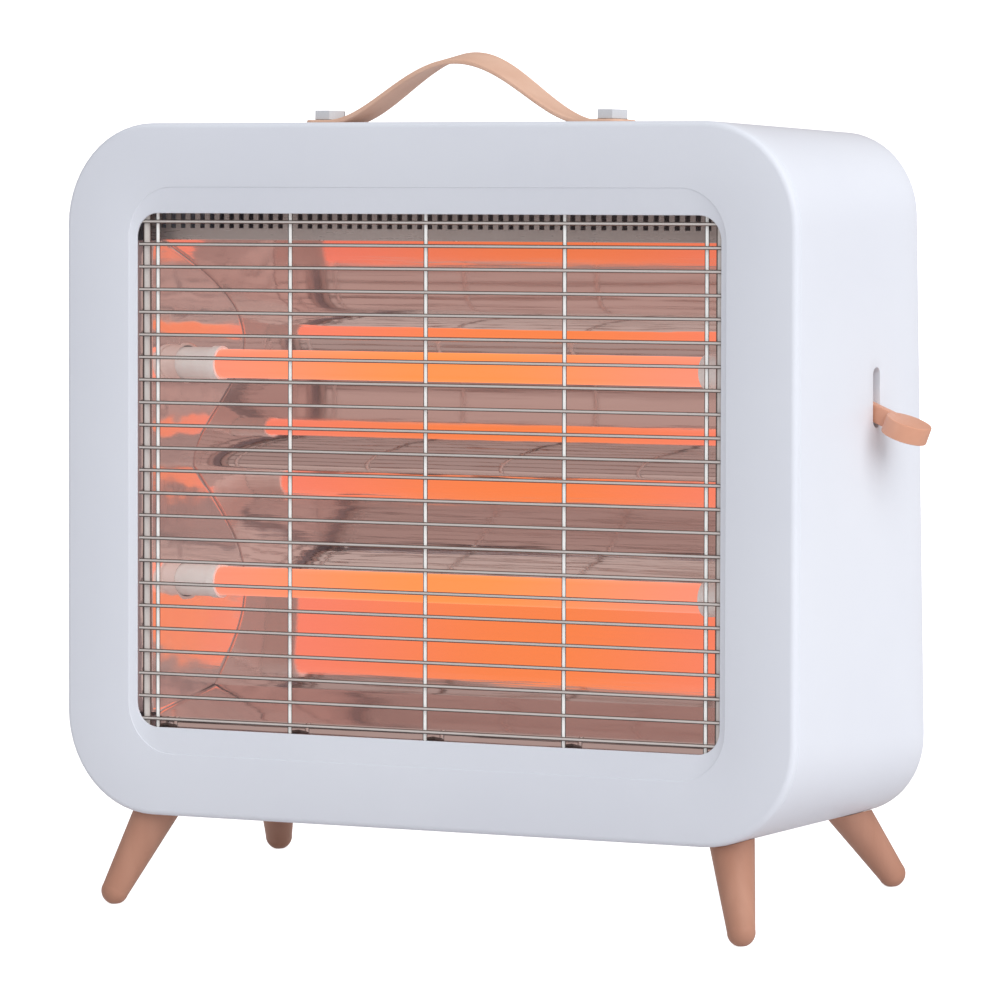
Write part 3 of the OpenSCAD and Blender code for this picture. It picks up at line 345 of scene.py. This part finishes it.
# ----------------------------------------------------------------------------------------------
# Front bezel. A moulded frame in the shell's white plastic with a rounded front edge, a wide flat
# border and a shallow sloping step that thins to a lip round the window. Its skirt plugs into the
# shell.

bezel_d = 0.004
bezel_edge_r = 0.0026
border_side, border_top, border_bottom = 0.0345, 0.0288, 0.0281
window_r, window_edge_r = 0.023, 0.0003
step_d, step_side, step_end = 0.0015, 0.0033, 0.0117
lip_t, recess_out = 0.001, 0.016
opening_r, opening_edge_r = 0.011, 0.0004
skirt_in, skirt_t, skirt_back = 0.0037, 0.002, 0.009
window_w = body_w - 2 * border_side
window_h = body_h - border_top - border_bottom
opening_w = window_w - 2 * step_side
opening_h = window_h - 2 * step_end
opening_bottom = border_bottom + step_end


def window_ring(grow, y):
    """The window's outline grown by grow, at the depth y."""
    width, height = window_w + 2 * grow, window_h + 2 * grow
    x, z = outline(width, height, window_r + grow, border_bottom - grow).T
    return np.stack([x, np.full_like(x, y), z], -1)


def opening_ring(grow, y):
    """The outline of the opening behind the step, grown by grow, at the depth y."""
    width, height = opening_w + 2 * grow, opening_h + 2 * grow
    x, z = outline(width, height, opening_r + grow, opening_bottom - grow).T
    return np.stack([x, np.full_like(x, y), z], -1)


def rounded_in(ring, radius, depth=0.0):
    """Rings over a rounded inner edge that faces the front: a quarter circle of this radius, from
    the face at this depth into the hole."""
    return [ring(radius * (1 - math.sin(a)), depth + radius * (1 - math.cos(a))) for a in quarter]


bezel_rings = [front_ring(0, bezel_d)]
bezel_rings += [front_ring(bezel_edge_r * (1 - math.cos(a)), bezel_edge_r * (1 - math.sin(a)))
                for a in quarter]
bezel_rings += rounded_in(window_ring, window_edge_r)
bezel_rings += rounded_in(opening_ring, opening_edge_r, step_d)
bezel_rings += [opening_ring(0, step_d + lip_t), opening_ring(recess_out, step_d + lip_t),
                opening_ring(recess_out, bezel_d), front_ring(skirt_in + skirt_t, bezel_d),
                front_ring(skirt_in + skirt_t, skirt_back), front_ring(skirt_in, skirt_back),
                front_ring(skirt_in, bezel_d), front_ring(0, bezel_d)]
bezel = surface_piece("bezel_frame", [(in_frame(np.stack(bezel_rings)), True)])
dress(bezel, moulded_white)
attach(bezel, "housing")
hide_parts("front_bezel")

# ----------------------------------------------------------------------------------------------
# Wire guard. Horizontal chromed wires, spot-welded to a thicker rod at each side and to upright
# posts behind them. The posts' ends are hooked back through the vent strip and the reflector's
# lower rim.

# Painted light on the bright plating: the first pair spreads a painted highlight where a surface
# faces the eye, the second a painted shade toward its outline.
painted_highlight_turn, painted_shade_turn = (0.12, 0.32), (0.18, 0.42)
painted_highlight_white = (1.0, 0.99, 0.98, 1.0)


def ramp(tree, value, low, high, start=0.0, end=1.0):
    """A soft step: start where the value is at most low, end where it is at least high."""
    step = tree.nodes.new("ShaderNodeMapRange")
    step.interpolation_type = "SMOOTHSTEP"
    step.inputs["From Min"].default_value, step.inputs["From Max"].default_value = low, high
    step.inputs["To Min"].default_value, step.inputs["To Max"].default_value = start, end
    tree.links.new(value, step.inputs["Value"])
    return step.outputs["Result"]


def make_plating_with_painted_light(name, middle, edge, painted_highlight):
    """Bright plating with painted light: the middle tone, with a painted highlight of white
    emission where it faces the eye, and a painted shade, the edge tone, toward its outline. The
    painted highlight fades, and the painted shade comes in, over their two turns, both as shares
    of the turn away from the eye."""
    material = make_finish(name, middle, middle, rough=(0.16, 0.3), coarse=90.0, fine=1400.0,
                           bump=(0.05, 0.0002), Specular_IOR_Level=0.7)
    tree, shader = material.node_tree, material.node_tree.nodes["Principled BSDF"]
    # Painted light: the share that faces the eye drives a painted shade toward the outline and a
    # painted highlight in the middle.
    weight = tree.nodes.new("ShaderNodeLayerWeight")
    facing = weight.outputs["Facing"]
    darken = tree.nodes.new("ShaderNodeMix")
    darken.data_type = "RGBA"
    darken.inputs["B"].default_value = edge
    for start, end in (
        (ramp(tree, facing, *painted_shade_turn), darken.inputs["Factor"]),
        (shader.inputs["Base Color"].links[0].from_socket, darken.inputs["A"]),
        (darken.outputs["Result"], shader.inputs["Base Color"]),
        (ramp(tree, facing, *painted_highlight_turn, painted_highlight, 0.0), shader.inputs["Emission Strength"]),
    ):
        tree.links.new(start, end)
    shader.inputs["Emission Color"].default_value = painted_highlight_white
    return material


# The guard's wires and posts get a painted highlight where they face the eye and a painted shade
# toward their outlines.
painted_shine_wire = make_plating_with_painted_light("painted_shine_wire", tone(196, 188, 183), tone(78, 66, 62), painted_highlight=0.12)
painted_shine_post = make_plating_with_painted_light("painted_shine_post", tone(228, 230, 228), tone(66, 58, 56), painted_highlight=0.22)
dress(nodes["wire_guard"], painted_shine_wire)
dress(nodes["guard_posts"], painted_shine_post)

# ----------------------------------------------------------------------------------------------
# Vent strip. A pressed strip of bright steel along the top of the window, with a row of upright
# slots that let the warm air out and a plain lip below them.

vent_metal = make_finish(
    "vent_metal", tone(214, 206, 202), tone(190, 182, 178), rough=(0.25, 0.4), coarse=50.0,
    fine=700.0, bump=(0.15, 0.0003), stretch=(0.1, 1, 1), Metallic=0.5)
dress(nodes["vent_strip"], vent_metal)

# ----------------------------------------------------------------------------------------------
# Reflector. A polished aluminium sheet bent into two troughs, one behind each tube, with a ridge
# between them and a straight lip at the bottom. Rolling has left faint ripples along its length.

# Points of the reflector's section: the height first, then the depth.
trough_upper = (0.2133, 0.0667)
trough_lower = (0.1007, 0.0674)
ridge = (0.1564, 0.0369)
rim_top = (0.2595, 0.0178)
rim_bottom = (0.0440, 0.0432)
# How each side of a trough falls off, by the powers that trough_side gives.
upper_rim_share = (0.994, 0.216, -0.21)
upper_ridge_share = (2.46, -0.66, -0.8)
lower_ridge_share = (1.25, 0.1, -0.35)
lower_rim_share = (1.63, -0.13, -0.5)
lip_y, lip_rise = 0.0126, 3.0
foot_low, foot_high, head_up = 0.008, 0.001, 0.004
sheet_y, sheet_back = 0.0123, 0.0014
reflector_half = 0.1535
sheet_rows, sheet_columns = 420, 60


def trough_side(z, middle, edge, share):
    """Depth of a trough's side: from the deepest line's depth it falls off toward its edge by
    three shares of the second, third and fourth power of the way there."""
    way = (z - middle[0]) / (edge[0] - middle[0])
    fall = share[0] * way**2 + share[1] * way**3 + share[2] * way**4
    return middle[1] - (middle[1] - edge[1]) * fall


def trough_y(z):
    """Depth of the reflector at a height: the upper trough above the ridge, and below it the lower
    trough or the straight lip, whichever is nearer the front."""
    upper = np.where(z > trough_upper[0], trough_side(z, trough_upper, rim_top, upper_rim_share),
                     trough_side(z, trough_upper, ridge, upper_ridge_share))
    lower = np.where(z > trough_lower[0], trough_side(z, trough_lower, ridge, lower_ridge_share),
                     trough_side(z, trough_lower, rim_bottom, lower_rim_share))
    lip = lip_y + (z - rim_bottom[0]) * lip_rise
    return np.where(z > ridge[0], upper, np.minimum(lower, lip))


def reflector_sheet():
    """The troughs' section, with a flat foot below and a short flat head above, drawn along the
    width, front and back, and closed round the edges."""
    z = np.concatenate([[rim_bottom[0] - foot_low, rim_bottom[0] - foot_high],
                        np.linspace(rim_bottom[0], rim_top[0], sheet_rows),
                        [rim_top[0] + head_up]])
    y = trough_y(np.clip(z, rim_bottom[0], rim_top[0]))
    y[:2] = sheet_y
    x = np.linspace(-reflector_half, reflector_half, sheet_columns)
    across, up = np.meshgrid(x, z, indexing="ij")
    front = np.stack([across, np.broadcast_to(y, across.shape), up], -1)
    back = front + np.array([0, sheet_back, 0])
    round_edge = np.concatenate([front, back[:, ::-1]], axis=1)
    caps = [np.stack([front[k], back[k]]) for k in (0, -1)]
    return [(in_frame(round_edge), True)] + [(in_frame(cap), False) for cap in caps]


# The warm colour of the polished sheets' painted glow: an emission standing in for the tubes'
# light.
painted_glow_colour = (1.0, 0.72, 0.7, 1.0)


def make_mirror(name, light, dark, rough, fine, ripple, stretch, painted_glow):
    """Polished sheet: bright metal whose normal wanders in soft ripples, drawn out by stretch. The
    sheet carries a faint warm emission of its own, set by the last argument: painted light that
    stands in for the tubes' glow caught by fine scratches."""
    return make_finish(name, light, dark, rough, coarse=6.0, fine=fine, bump=ripple,
                       stretch=stretch, Metallic=1.0, Emission_Color=painted_glow_colour,
                       Emission_Strength=painted_glow)


# Painted light on the reflector: its tones are tinted warm and it carries a faint warm emission,
# both standing in for the tubes' glow.
polished = make_mirror(
    "polished_sheet", tone(244, 230, 226), tone(230, 208, 203), rough=(0.04, 0.1), fine=60.0,
    ripple=(0.25, 0.0006), stretch=(0.12, 1.0, 3.0), painted_glow=0.032)
sheet_crisp = 30.0
reflector = surface_piece("reflector_sheet", reflector_sheet(), crisp=sheet_crisp)
dress(reflector, polished)
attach(reflector, "housing")
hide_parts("reflector")

# ----------------------------------------------------------------------------------------------
# End plates. A polished plate closes each end of the troughs. It slants inward toward the back,
# its front edge is folded out under the shell's flange, and the tubes' caps pass through it.

tube_z, tube_y = (0.2035, 0.1050), 0.0334
end_x, end_fold_x = 0.1520, 0.1798
end_slant, end_back_y = 0.012, 0.060
end_low, end_high = rim_bottom[0] + 0.0015, rim_top[0] - 0.0004
end_t, end_gap = 0.0008, 0.0003
cap_hole_r = 0.0079
end_rows, end_rings = 30, 26


def end_plate_x(y):
    """How far out the slanted plate lies at a depth."""
    return end_x - end_slant * (y - sheet_y) / (end_back_y - sheet_y)


def end_half(low, high, hole_z):
    """One half of an end plate, in rings from its edge to the hole of its tube. The edge goes up
    the front, back along the top, down just before the trough and forward along the bottom."""
    steps = np.linspace(0, 1, end_rows)
    up = low + (high - low) * steps
    trough = trough_y(np.clip(up, rim_bottom[0], rim_top[0])) - end_gap
    front = np.stack([np.full_like(up, sheet_y), up], -1)
    across = steps[1:-1, None]
    top = front[-1] + across * (np.array([trough[-1], high]) - front[-1])
    back = np.stack([trough, up], -1)[::-1]
    bottom = back[-1] + across * (front[0] - back[-1])
    edge = np.concatenate([front, top, back, bottom])
    centre = np.array([tube_y, hole_z])
    way = edge - centre
    hole = centre + cap_hole_r * way / np.linalg.norm(way, axis=1, keepdims=True)
    y, z = np.moveaxis(pierced(edge, hole, np.linspace(0, 1, end_rings)), -1, 0)
    return np.stack([end_plate_x(y), y, z], -1)


# Painted light on the end plates as on the reflector: warm-tinted tones and a faint warm emission,
# stronger here, for the tubes' glow.
crumpled = make_mirror(
    "crumpled_sheet", tone(240, 228, 224), tone(226, 208, 202), rough=(0.05, 0.16), fine=20.0,
    ripple=(0.6, 0.004), stretch=(1.0, 1.0, 0.8), painted_glow=0.12)


def make_end_plate(name, side, node):
    """Both halves of the plate and its folded front edge, mirrored for the left side, given their
    thickness by a Solidify modifier."""
    mirror = np.array([side, 1, 1])
    x, z = np.meshgrid([end_x, end_fold_x], np.linspace(end_low, end_high, 2 * end_rows - 1),
                       indexing="ij")
    fold = np.stack([x, np.full_like(x, sheet_y), z], -1)
    halves = [end_half(end_low, ridge[0], tube_z[1]), end_half(ridge[0], end_high, tube_z[0])]
    patches = [(in_frame(half * mirror), True) for half in halves]
    plate = surface_piece(name, patches + [(in_frame(fold * mirror), False)], crisp=sheet_crisp)
    thick = plate.modifiers.new("sheet", "SOLIDIFY")
    thick.thickness = end_t
    thick.offset = -1.0
    dress(plate, crumpled)
    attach(plate, "housing")
    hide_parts(node)


make_end_plate("end_sheet_left", -1, "end_plate_left")
make_end_plate("end_sheet_right", 1, "end_plate_right")

# ----------------------------------------------------------------------------------------------
# Quartz tubes. Two tubes of milky quartz, each with a winding of resistance wire that glows
# through it, orange in the middle and pinker toward the ends. Stepped ceramic caps hold the ends.

glow_middle, glow_end = tone(255, 144, 76), tone(255, 142, 116)
glow_turn = (0.01, 0.14)


def make_glow(name, strength):
    """A dark streaked surface with a glow over it. Between the two distances of glow_turn from the
    middle of the tube, its colour goes from the middle's to the ends'."""
    material = make_finish(name, tone(110, 56, 40), tone(96, 48, 34), rough=(0.12, 0.2),
                           coarse=20.0, fine=500.0, bump=(0.05, 0.0002), stretch=(0.15, 1, 1))
    tree, shader = material.node_tree, material.node_tree.nodes["Principled BSDF"]
    place = tree.nodes.new("ShaderNodeTexCoord")
    part = tree.nodes.new("ShaderNodeSeparateXYZ")
    centre = tree.nodes.new("ShaderNodeMath")
    centre.operation = "ADD"
    centre.inputs[1].default_value = middle_x
    distance = tree.nodes.new("ShaderNodeMath")
    distance.operation = "ABSOLUTE"
    mix = tree.nodes.new("ShaderNodeMix")
    mix.data_type = "RGBA"
    mix.inputs["A"].default_value = glow_middle
    mix.inputs["B"].default_value = glow_end
    for start, end in (
        (place.outputs["Object"], part.inputs["Vector"]),
        (part.outputs["X"], centre.inputs[0]),
        (centre.outputs["Value"], distance.inputs[0]),
        (ramp(tree, distance.outputs["Value"], *glow_turn), mix.inputs["Factor"]),
        (mix.outputs["Result"], shader.inputs["Emission Color"]),
    ):
        tree.links.new(start, end)
    shader.inputs["Emission Strength"].default_value = strength
    return material


quartz_glow = make_glow("quartz_glow", strength=1.05)
winding_glow = make_glow("winding_glow", strength=2.0)
# The ceramic of the caps and the terminal block carries a faint warm emission: painted light for
# the tubes' glow falling on it.
ceramic = make_finish(
    "ceramic", tone(250, 243, 238), tone(240, 230, 224), rough=(0.35, 0.5), coarse=120.0,
    fine=1500.0, bump=(0.2, 0.0002), Emission_Color=(1.0, 0.86, 0.82, 1.0), Emission_Strength=0.12)
for name in ("quartz_tube_upper", "quartz_tube_lower"):
    dress(nodes[name], quartz_glow)
for name in ("winding_upper", "winding_lower"):
    dress(nodes[name], winding_glow)
for name in ("cap_upper_left", "cap_upper_right", "cap_lower_left", "cap_lower_right"):
    dress(nodes[name], ceramic)

# ----------------------------------------------------------------------------------------------
# Brackets and heat shield. Two plated steel brackets carry the tubes' caps behind the end plates.
# The heat shield is screwed across their backs, and carries the small electrical units.

plated_steel = make_finish(
    "plated_steel", tone(190, 192, 196), tone(170, 172, 178), rough=(0.3, 0.45), coarse=30.0,
    fine=500.0, bump=(0.15, 0.0003), stretch=(0.2, 1, 1), Metallic=1.0)
lead_sleeve = make_finish(
    "lead_sleeve", tone(205, 192, 172), tone(188, 174, 152), rough=(0.55, 0.7), coarse=60.0,
    fine=2500.0, bump=(0.4, 0.0003))
for name in ("tube_bracket_left", "tube_bracket_right", "heat_shield", "switch_bracket"):
    dress(nodes[name], plated_steel)
dress(nodes["shield_screws"], zinc_plate)
for name in ("thermal_cutout", "tilt_switch", "switch_body"):
    dress(nodes[name], dark_moulding)
dress(nodes["terminal_block"], ceramic)
dress(nodes["internal_leads"], lead_sleeve)

# ----------------------------------------------------------------------------------------------
# Power lever. A tan moulded lever that rocks on a short steel shaft. Its flat neck comes out of
# the slot and ends in a round pad for the finger, and a clip keeps it on the shaft.

lever_rest = math.radians(22)
neck_w, neck_h, neck_edge_r = 0.0046, 0.0076, 0.0006
neck_start, neck_end = 0.003, 0.029
pad_x, pad_y, pad_half_l, pad_half_w = 0.0354, -0.0014, 0.0098, 0.0117
pad_top, pad_t, pad_edge_r = 0.0037, 0.0078, 0.0005
hub_r, hub_bore_r, hub_front, hub_back = 0.007, 0.0026, 0.0033, 0.0068


def on_lever(points):
    """Sets points of the lever (X out along it, Y back, Z up, from its pivot) in the part's frame:
    a turn about Y by the rest angle, then a move to the pivot in the leaning housing."""
    x, y, z = np.moveaxis(np.asarray(points, float), -1, 0)
    return in_frame(np.stack([
        x * math.cos(lever_rest) + z * math.sin(lever_rest) + pivot_x,
        y + slot_y,
        z * math.cos(lever_rest) - x * math.sin(lever_rest) + pivot_z,
    ], -1))


def lever_neck():
    """A rounded rectangle carried straight out from the hub."""
    y, up = outline(neck_w, neck_h, neck_edge_r, -neck_h / 2, arc=4, side=4).T
    x = np.linspace(neck_start, neck_end, 12)
    section = np.stack([*np.meshgrid(x, y, indexing="ij"), np.tile(up, (len(x), 1))], -1)
    return np.concatenate([section[:1] * (1, 0, 0), section, section[-1:] * (1, 0, 0)])


def lever_pad():
    """A flat round pad: an ellipse in plan, drawn in by a quarter circle at its top and bottom
    edges, and to its middle across both faces."""
    turn = np.linspace(0, math.tau, 97)[:-1]
    arc = np.linspace(0, math.pi / 2, 6)
    over, past = pad_edge_r * (1 - np.sin(arc)), pad_edge_r * (1 - np.cos(arc))
    bottom = pad_top - pad_t
    inset = np.concatenate([over, past])[:, None]
    out, across = (np.concatenate([[[0]], half - inset, [[0]]])
                   for half in (pad_half_l, pad_half_w))
    up = np.concatenate([[pad_top], pad_top - past, bottom + over, [bottom]])[:, None]
    return np.stack([pad_x + out * np.cos(turn), pad_y + across * np.sin(turn),
                     np.broadcast_to(up, (len(up), len(turn)))], -1)


def lever_hub():
    """A rectangle turned about the pivot's axis: a short thick ring."""
    turn = np.linspace(0, math.tau, 73)[:-1]
    radius = np.array([hub_bore_r, hub_r, hub_r, hub_bore_r, hub_bore_r])[:, None]
    y = np.array([-hub_front, -hub_front, hub_back, hub_back, -hub_front])[:, None]
    return np.stack([radius * np.cos(turn), np.broadcast_to(y, (len(y), len(turn))),
                     radius * np.sin(turn)], -1)


lever_tan = make_finish(
    "lever_tan", tone(228, 170, 142), tone(216, 156, 128), rough=(0.38, 0.5), coarse=45.0,
    fine=800.0, bump=(0.15, 0.0003))
lever = surface_piece(
    "lever_pad", [(on_lever(part), True) for part in (lever_hub(), lever_neck(), lever_pad())])
dress(lever, lever_tan)
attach(lever, "lever")
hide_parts("power_lever")
dress(nodes["lever_shaft"], zinc_plate)
dress(nodes["shaft_clip"], zinc_plate)

# ----------------------------------------------------------------------------------------------
# Carrying strap. A band of smooth tan leather, cut with rounded ends, that arches over the top and
# is twisted a little at its peak. A chromed hexagon bolt holds each end, with a washer and a nut
# inside the shell.

strap_y, strap_w, strap_t = 0.041, 0.019, 0.0023
strap_half, strap_tip_r = 0.0824, 0.005
strap_rise, arch_half, strap_peak_x = 0.0287, 0.066, -0.003
arch_power = 0.9
strap_lift, strap_twist = 0.0003, 0.0021
strap_edge_r = 0.0008
top_slope = math.atan(top_draft / depth_top)


def on_strap(points):
    """Sets points that are given on the sloping top, Z straight off it, in the leaning housing."""
    x, y, z = np.moveaxis(np.asarray(points, float), -1, 0)
    top_z = body_h - strap_y * math.tan(top_slope)
    return np.stack([
        x,
        strap_y + y * math.cos(top_slope) + z * math.sin(top_slope),
        top_z + z * math.cos(top_slope) - y * math.sin(top_slope),
    ], -1)


def strap_arch(x):
    """Share of the full rise: a raised cosine over the arch's width, to the power arch_power."""
    way = np.clip((x - strap_peak_x) / arch_half, -1, 1)
    return ((1 + np.cos(math.pi * way)) / 2) ** arch_power


def strap_band():
    """A thin rounded section carried along the arch. Its half width is drawn in at the tips by a
    quarter circle, and its edges rise and fall by the twist, most at the peak. The second grid is
    the same band lying flat, for the leather's grain."""
    tip = strap_half - strap_tip_r * (1 - np.cos(np.linspace(math.pi / 2, 0, 9)[1:]))
    x = np.concatenate([-tip[::-1], np.linspace(-1, 1, 150) * (strap_half - strap_tip_r), tip])
    from_tip = np.minimum(strap_half - np.abs(x), strap_tip_r)
    drawn_in = strap_tip_r - np.sqrt(strap_tip_r**2 - (strap_tip_r - from_tip) ** 2)
    y, z = outline(strap_w, strap_t, strap_edge_r, 0.0, arc=4, side=6).T
    across = y[None, :] / (strap_w / 2) * (strap_w / 2 - drawn_in)[:, None]
    rise = strap_arch(x)[:, None]
    height = strap_lift + strap_rise * rise + strap_twist * rise**2 * across / (strap_w / 2)
    thick = np.broadcast_to(z, across.shape)
    length = np.broadcast_to(x[:, None], across.shape)
    return np.stack([length, across, height + thick], -1), np.stack([length, across, thick], -1)


def with_tips(band):
    """The band and its two closed ends: each end's last ring, drawn in to the ring's middle."""
    ends = [band[0], band[-1]]
    return [band] + [np.stack([ring, np.broadcast_to(ring.mean(0), ring.shape)]) for ring in ends]


strap_points, strap_local = strap_band()
strap = surface_piece(
    "strap_band", [(in_frame(on_strap(patch)), True) for patch in with_tips(strap_points)],
    along=with_tips(strap_local))
leather = make_finish(
    "strap_leather", tone(232, 192, 168), tone(224, 181, 156), rough=(0.5, 0.62), coarse=70.0,
    fine=1400.0, bump=(0.35, 0.0004), along=True)
dress(strap, leather)
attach(strap, "housing")
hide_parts("carry_strap")

# The bolts' heads get the same painted highlight where they face the eye and painted shade toward
# their outlines.
bolt_chrome = make_plating_with_painted_light("bolt_chrome", tone(196, 200, 206), tone(60, 62, 66), painted_highlight=0.1)
dress(nodes["strap_bolts"], bolt_chrome)
dress(nodes["strap_washers"], zinc_plate)
dress(nodes["strap_nuts"], zinc_plate)

# ----------------------------------------------------------------------------------------------
# Legs. Four turned wooden legs with round feet, stained terracotta under a satin lacquer, splayed
# out from the corners. Each hangs on a steel stud through a wedge inside the shell.

leg_wood = make_finish(
    "leg_wood", tone(192, 142, 120), tone(176, 126, 104), rough=(0.3, 0.42), coarse=60.0,
    fine=900.0, bump=(0.15, 0.0003), stretch=(1, 1, 0.12), Coat_Weight=0.2, Coat_Roughness=0.2)
for name in ("leg_front_left", "leg_front_right", "leg_rear_left", "leg_rear_right"):
    dress(nodes[name], leg_wood)
dress(nodes["leg_sockets"], dark_moulding)
dress(nodes["leg_studs"], zinc_plate)
dress(nodes["leg_nuts"], zinc_plate)

# ----------------------------------------------------------------------------------------------
# Floor, light and camera. A plain pale floor, an even white studio round it, and a soft key light
# from the right. The camera stands to the right of the front, and looks a little down.

floor_half = 30.0
floor_seen = 0.85
mirror_floor, mirror_floor_strength = (0.78, 0.65, 0.61, 1.0), 0.7
sky_white, sky_strength = (0.96, 0.97, 1.0, 1.0), 0.57
mirror_sky, mirror_sky_strength = (0.82, 0.65, 0.61, 1.0), 0.5
key_strength, key_heading, key_height, key_softness = 1.92, 72.0, 35.0, 60.0
camera_place = (1.63803, -2.60483, 0.59955)
camera_heading, camera_pitch, camera_roll = 32.2393, -7.7857, -3.1764
focal_share = 6.97382
camera_reach = 100.0

floor_corners = np.array([[[-1, -1, 0], [1, -1, 0]], [[-1, 1, 0], [1, 1, 0]]]) * floor_half
floor = surface_piece("floor", [(floor_corners, False)])
floor_white = make_finish(
    "floor_white", tone(232, 231, 232), tone(229, 228, 230), rough=(0.6, 0.7), coarse=0.5,
    fine=4.0, bump=(0.0, 0.001))


def dim_in_mirrors(tree, plain, out, colour, strength):
    """Keeps a surface or sky as it is for the camera and for diffuse light, and shows the mirrors
    the dimmer colour that a furnished room would give them."""
    path = tree.nodes.new("ShaderNodeLightPath")
    dim = tree.nodes.new("ShaderNodeBackground" if plain.bl_idname == "ShaderNodeBackground"
                         else "ShaderNodeEmission")
    dim.inputs["Color"].default_value = colour
    dim.inputs["Strength"].default_value = strength
    mix = tree.nodes.new("ShaderNodeMixShader")
    for start, end in (
        (path.outputs["Is Glossy Ray"], mix.inputs["Fac"]),
        (plain.outputs[0], mix.inputs[1]),
        (dim.outputs[0], mix.inputs[2]),
        (mix.outputs["Shader"], out.inputs["Surface"]),
    ):
        tree.links.new(start, end)


floor_tree = floor_white.node_tree
floor_shader = floor_tree.nodes["Principled BSDF"]
floor_shader.inputs["Emission Color"].default_value = (1, 1, 1, 1)
# The floor is white to the camera, as an overlit studio sheet is, and lights nothing by that.
seen = floor_tree.nodes.new("ShaderNodeMapRange")
seen.inputs["To Min"].default_value, seen.inputs["To Max"].default_value = 0.0, floor_seen
floor_path = floor_tree.nodes.new("ShaderNodeLightPath")
floor_tree.links.new(floor_path.outputs["Is Camera Ray"], seen.inputs["Value"])
floor_tree.links.new(seen.outputs["Result"], floor_shader.inputs["Emission Strength"])
dim_in_mirrors(floor_tree, floor_shader, floor_tree.nodes["Material Output"],
               mirror_floor, mirror_floor_strength)
dress(floor, floor_white)

world = bpy.data.worlds.new("studio")
bpy.context.scene.world = world
world.use_nodes = True
sky = world.node_tree.nodes["Background"]
sky.inputs["Color"].default_value = sky_white
sky.inputs["Strength"].default_value = sky_strength
dim_in_mirrors(world.node_tree, sky, world.node_tree.nodes["World Output"],
               mirror_sky, mirror_sky_strength)


def sun_light(name, strength, heading, height, softness):
    """An even light from one side of the sky: heading is measured from the front toward the right,
    height above the horizon, and softness is the width of the bright patch, all in degrees."""
    lamp = bpy.data.lights.new(name, "SUN")
    lamp.energy = strength
    lamp.angle = math.radians(softness)
    holder = bpy.data.objects.new(name, lamp)
    holder.rotation_euler = (math.radians(90 - height), 0, math.radians(heading))
    holder.visible_glossy = False
    bpy.context.scene.collection.objects.link(holder)


sun_light("key_light", key_strength, key_heading, key_height, key_softness)

# An unturned camera looks straight down. This one is rolled about its view, raised to the level
# and tipped by its pitch, then turned left by its heading.
camera_data = bpy.data.cameras.new("photo_camera")
camera_data.lens = camera_data.sensor_width * focal_share
camera_data.clip_end = camera_reach
camera = bpy.data.objects.new("photo_camera", camera_data)
camera.location = camera_place
turns = [Matrix.Rotation(math.radians(angle), 3, axis) for angle, axis in
         ((camera_heading, "Z"), (90 + camera_pitch, "X"), (camera_roll, "Z"))]
camera.rotation_euler = (turns[0] @ turns[1] @ turns[2]).to_euler()
bpy.context.scene.collection.objects.link(camera)
bpy.context.scene.camera = camera
bpy.context.scene.view_settings.view_transform = "Standard"
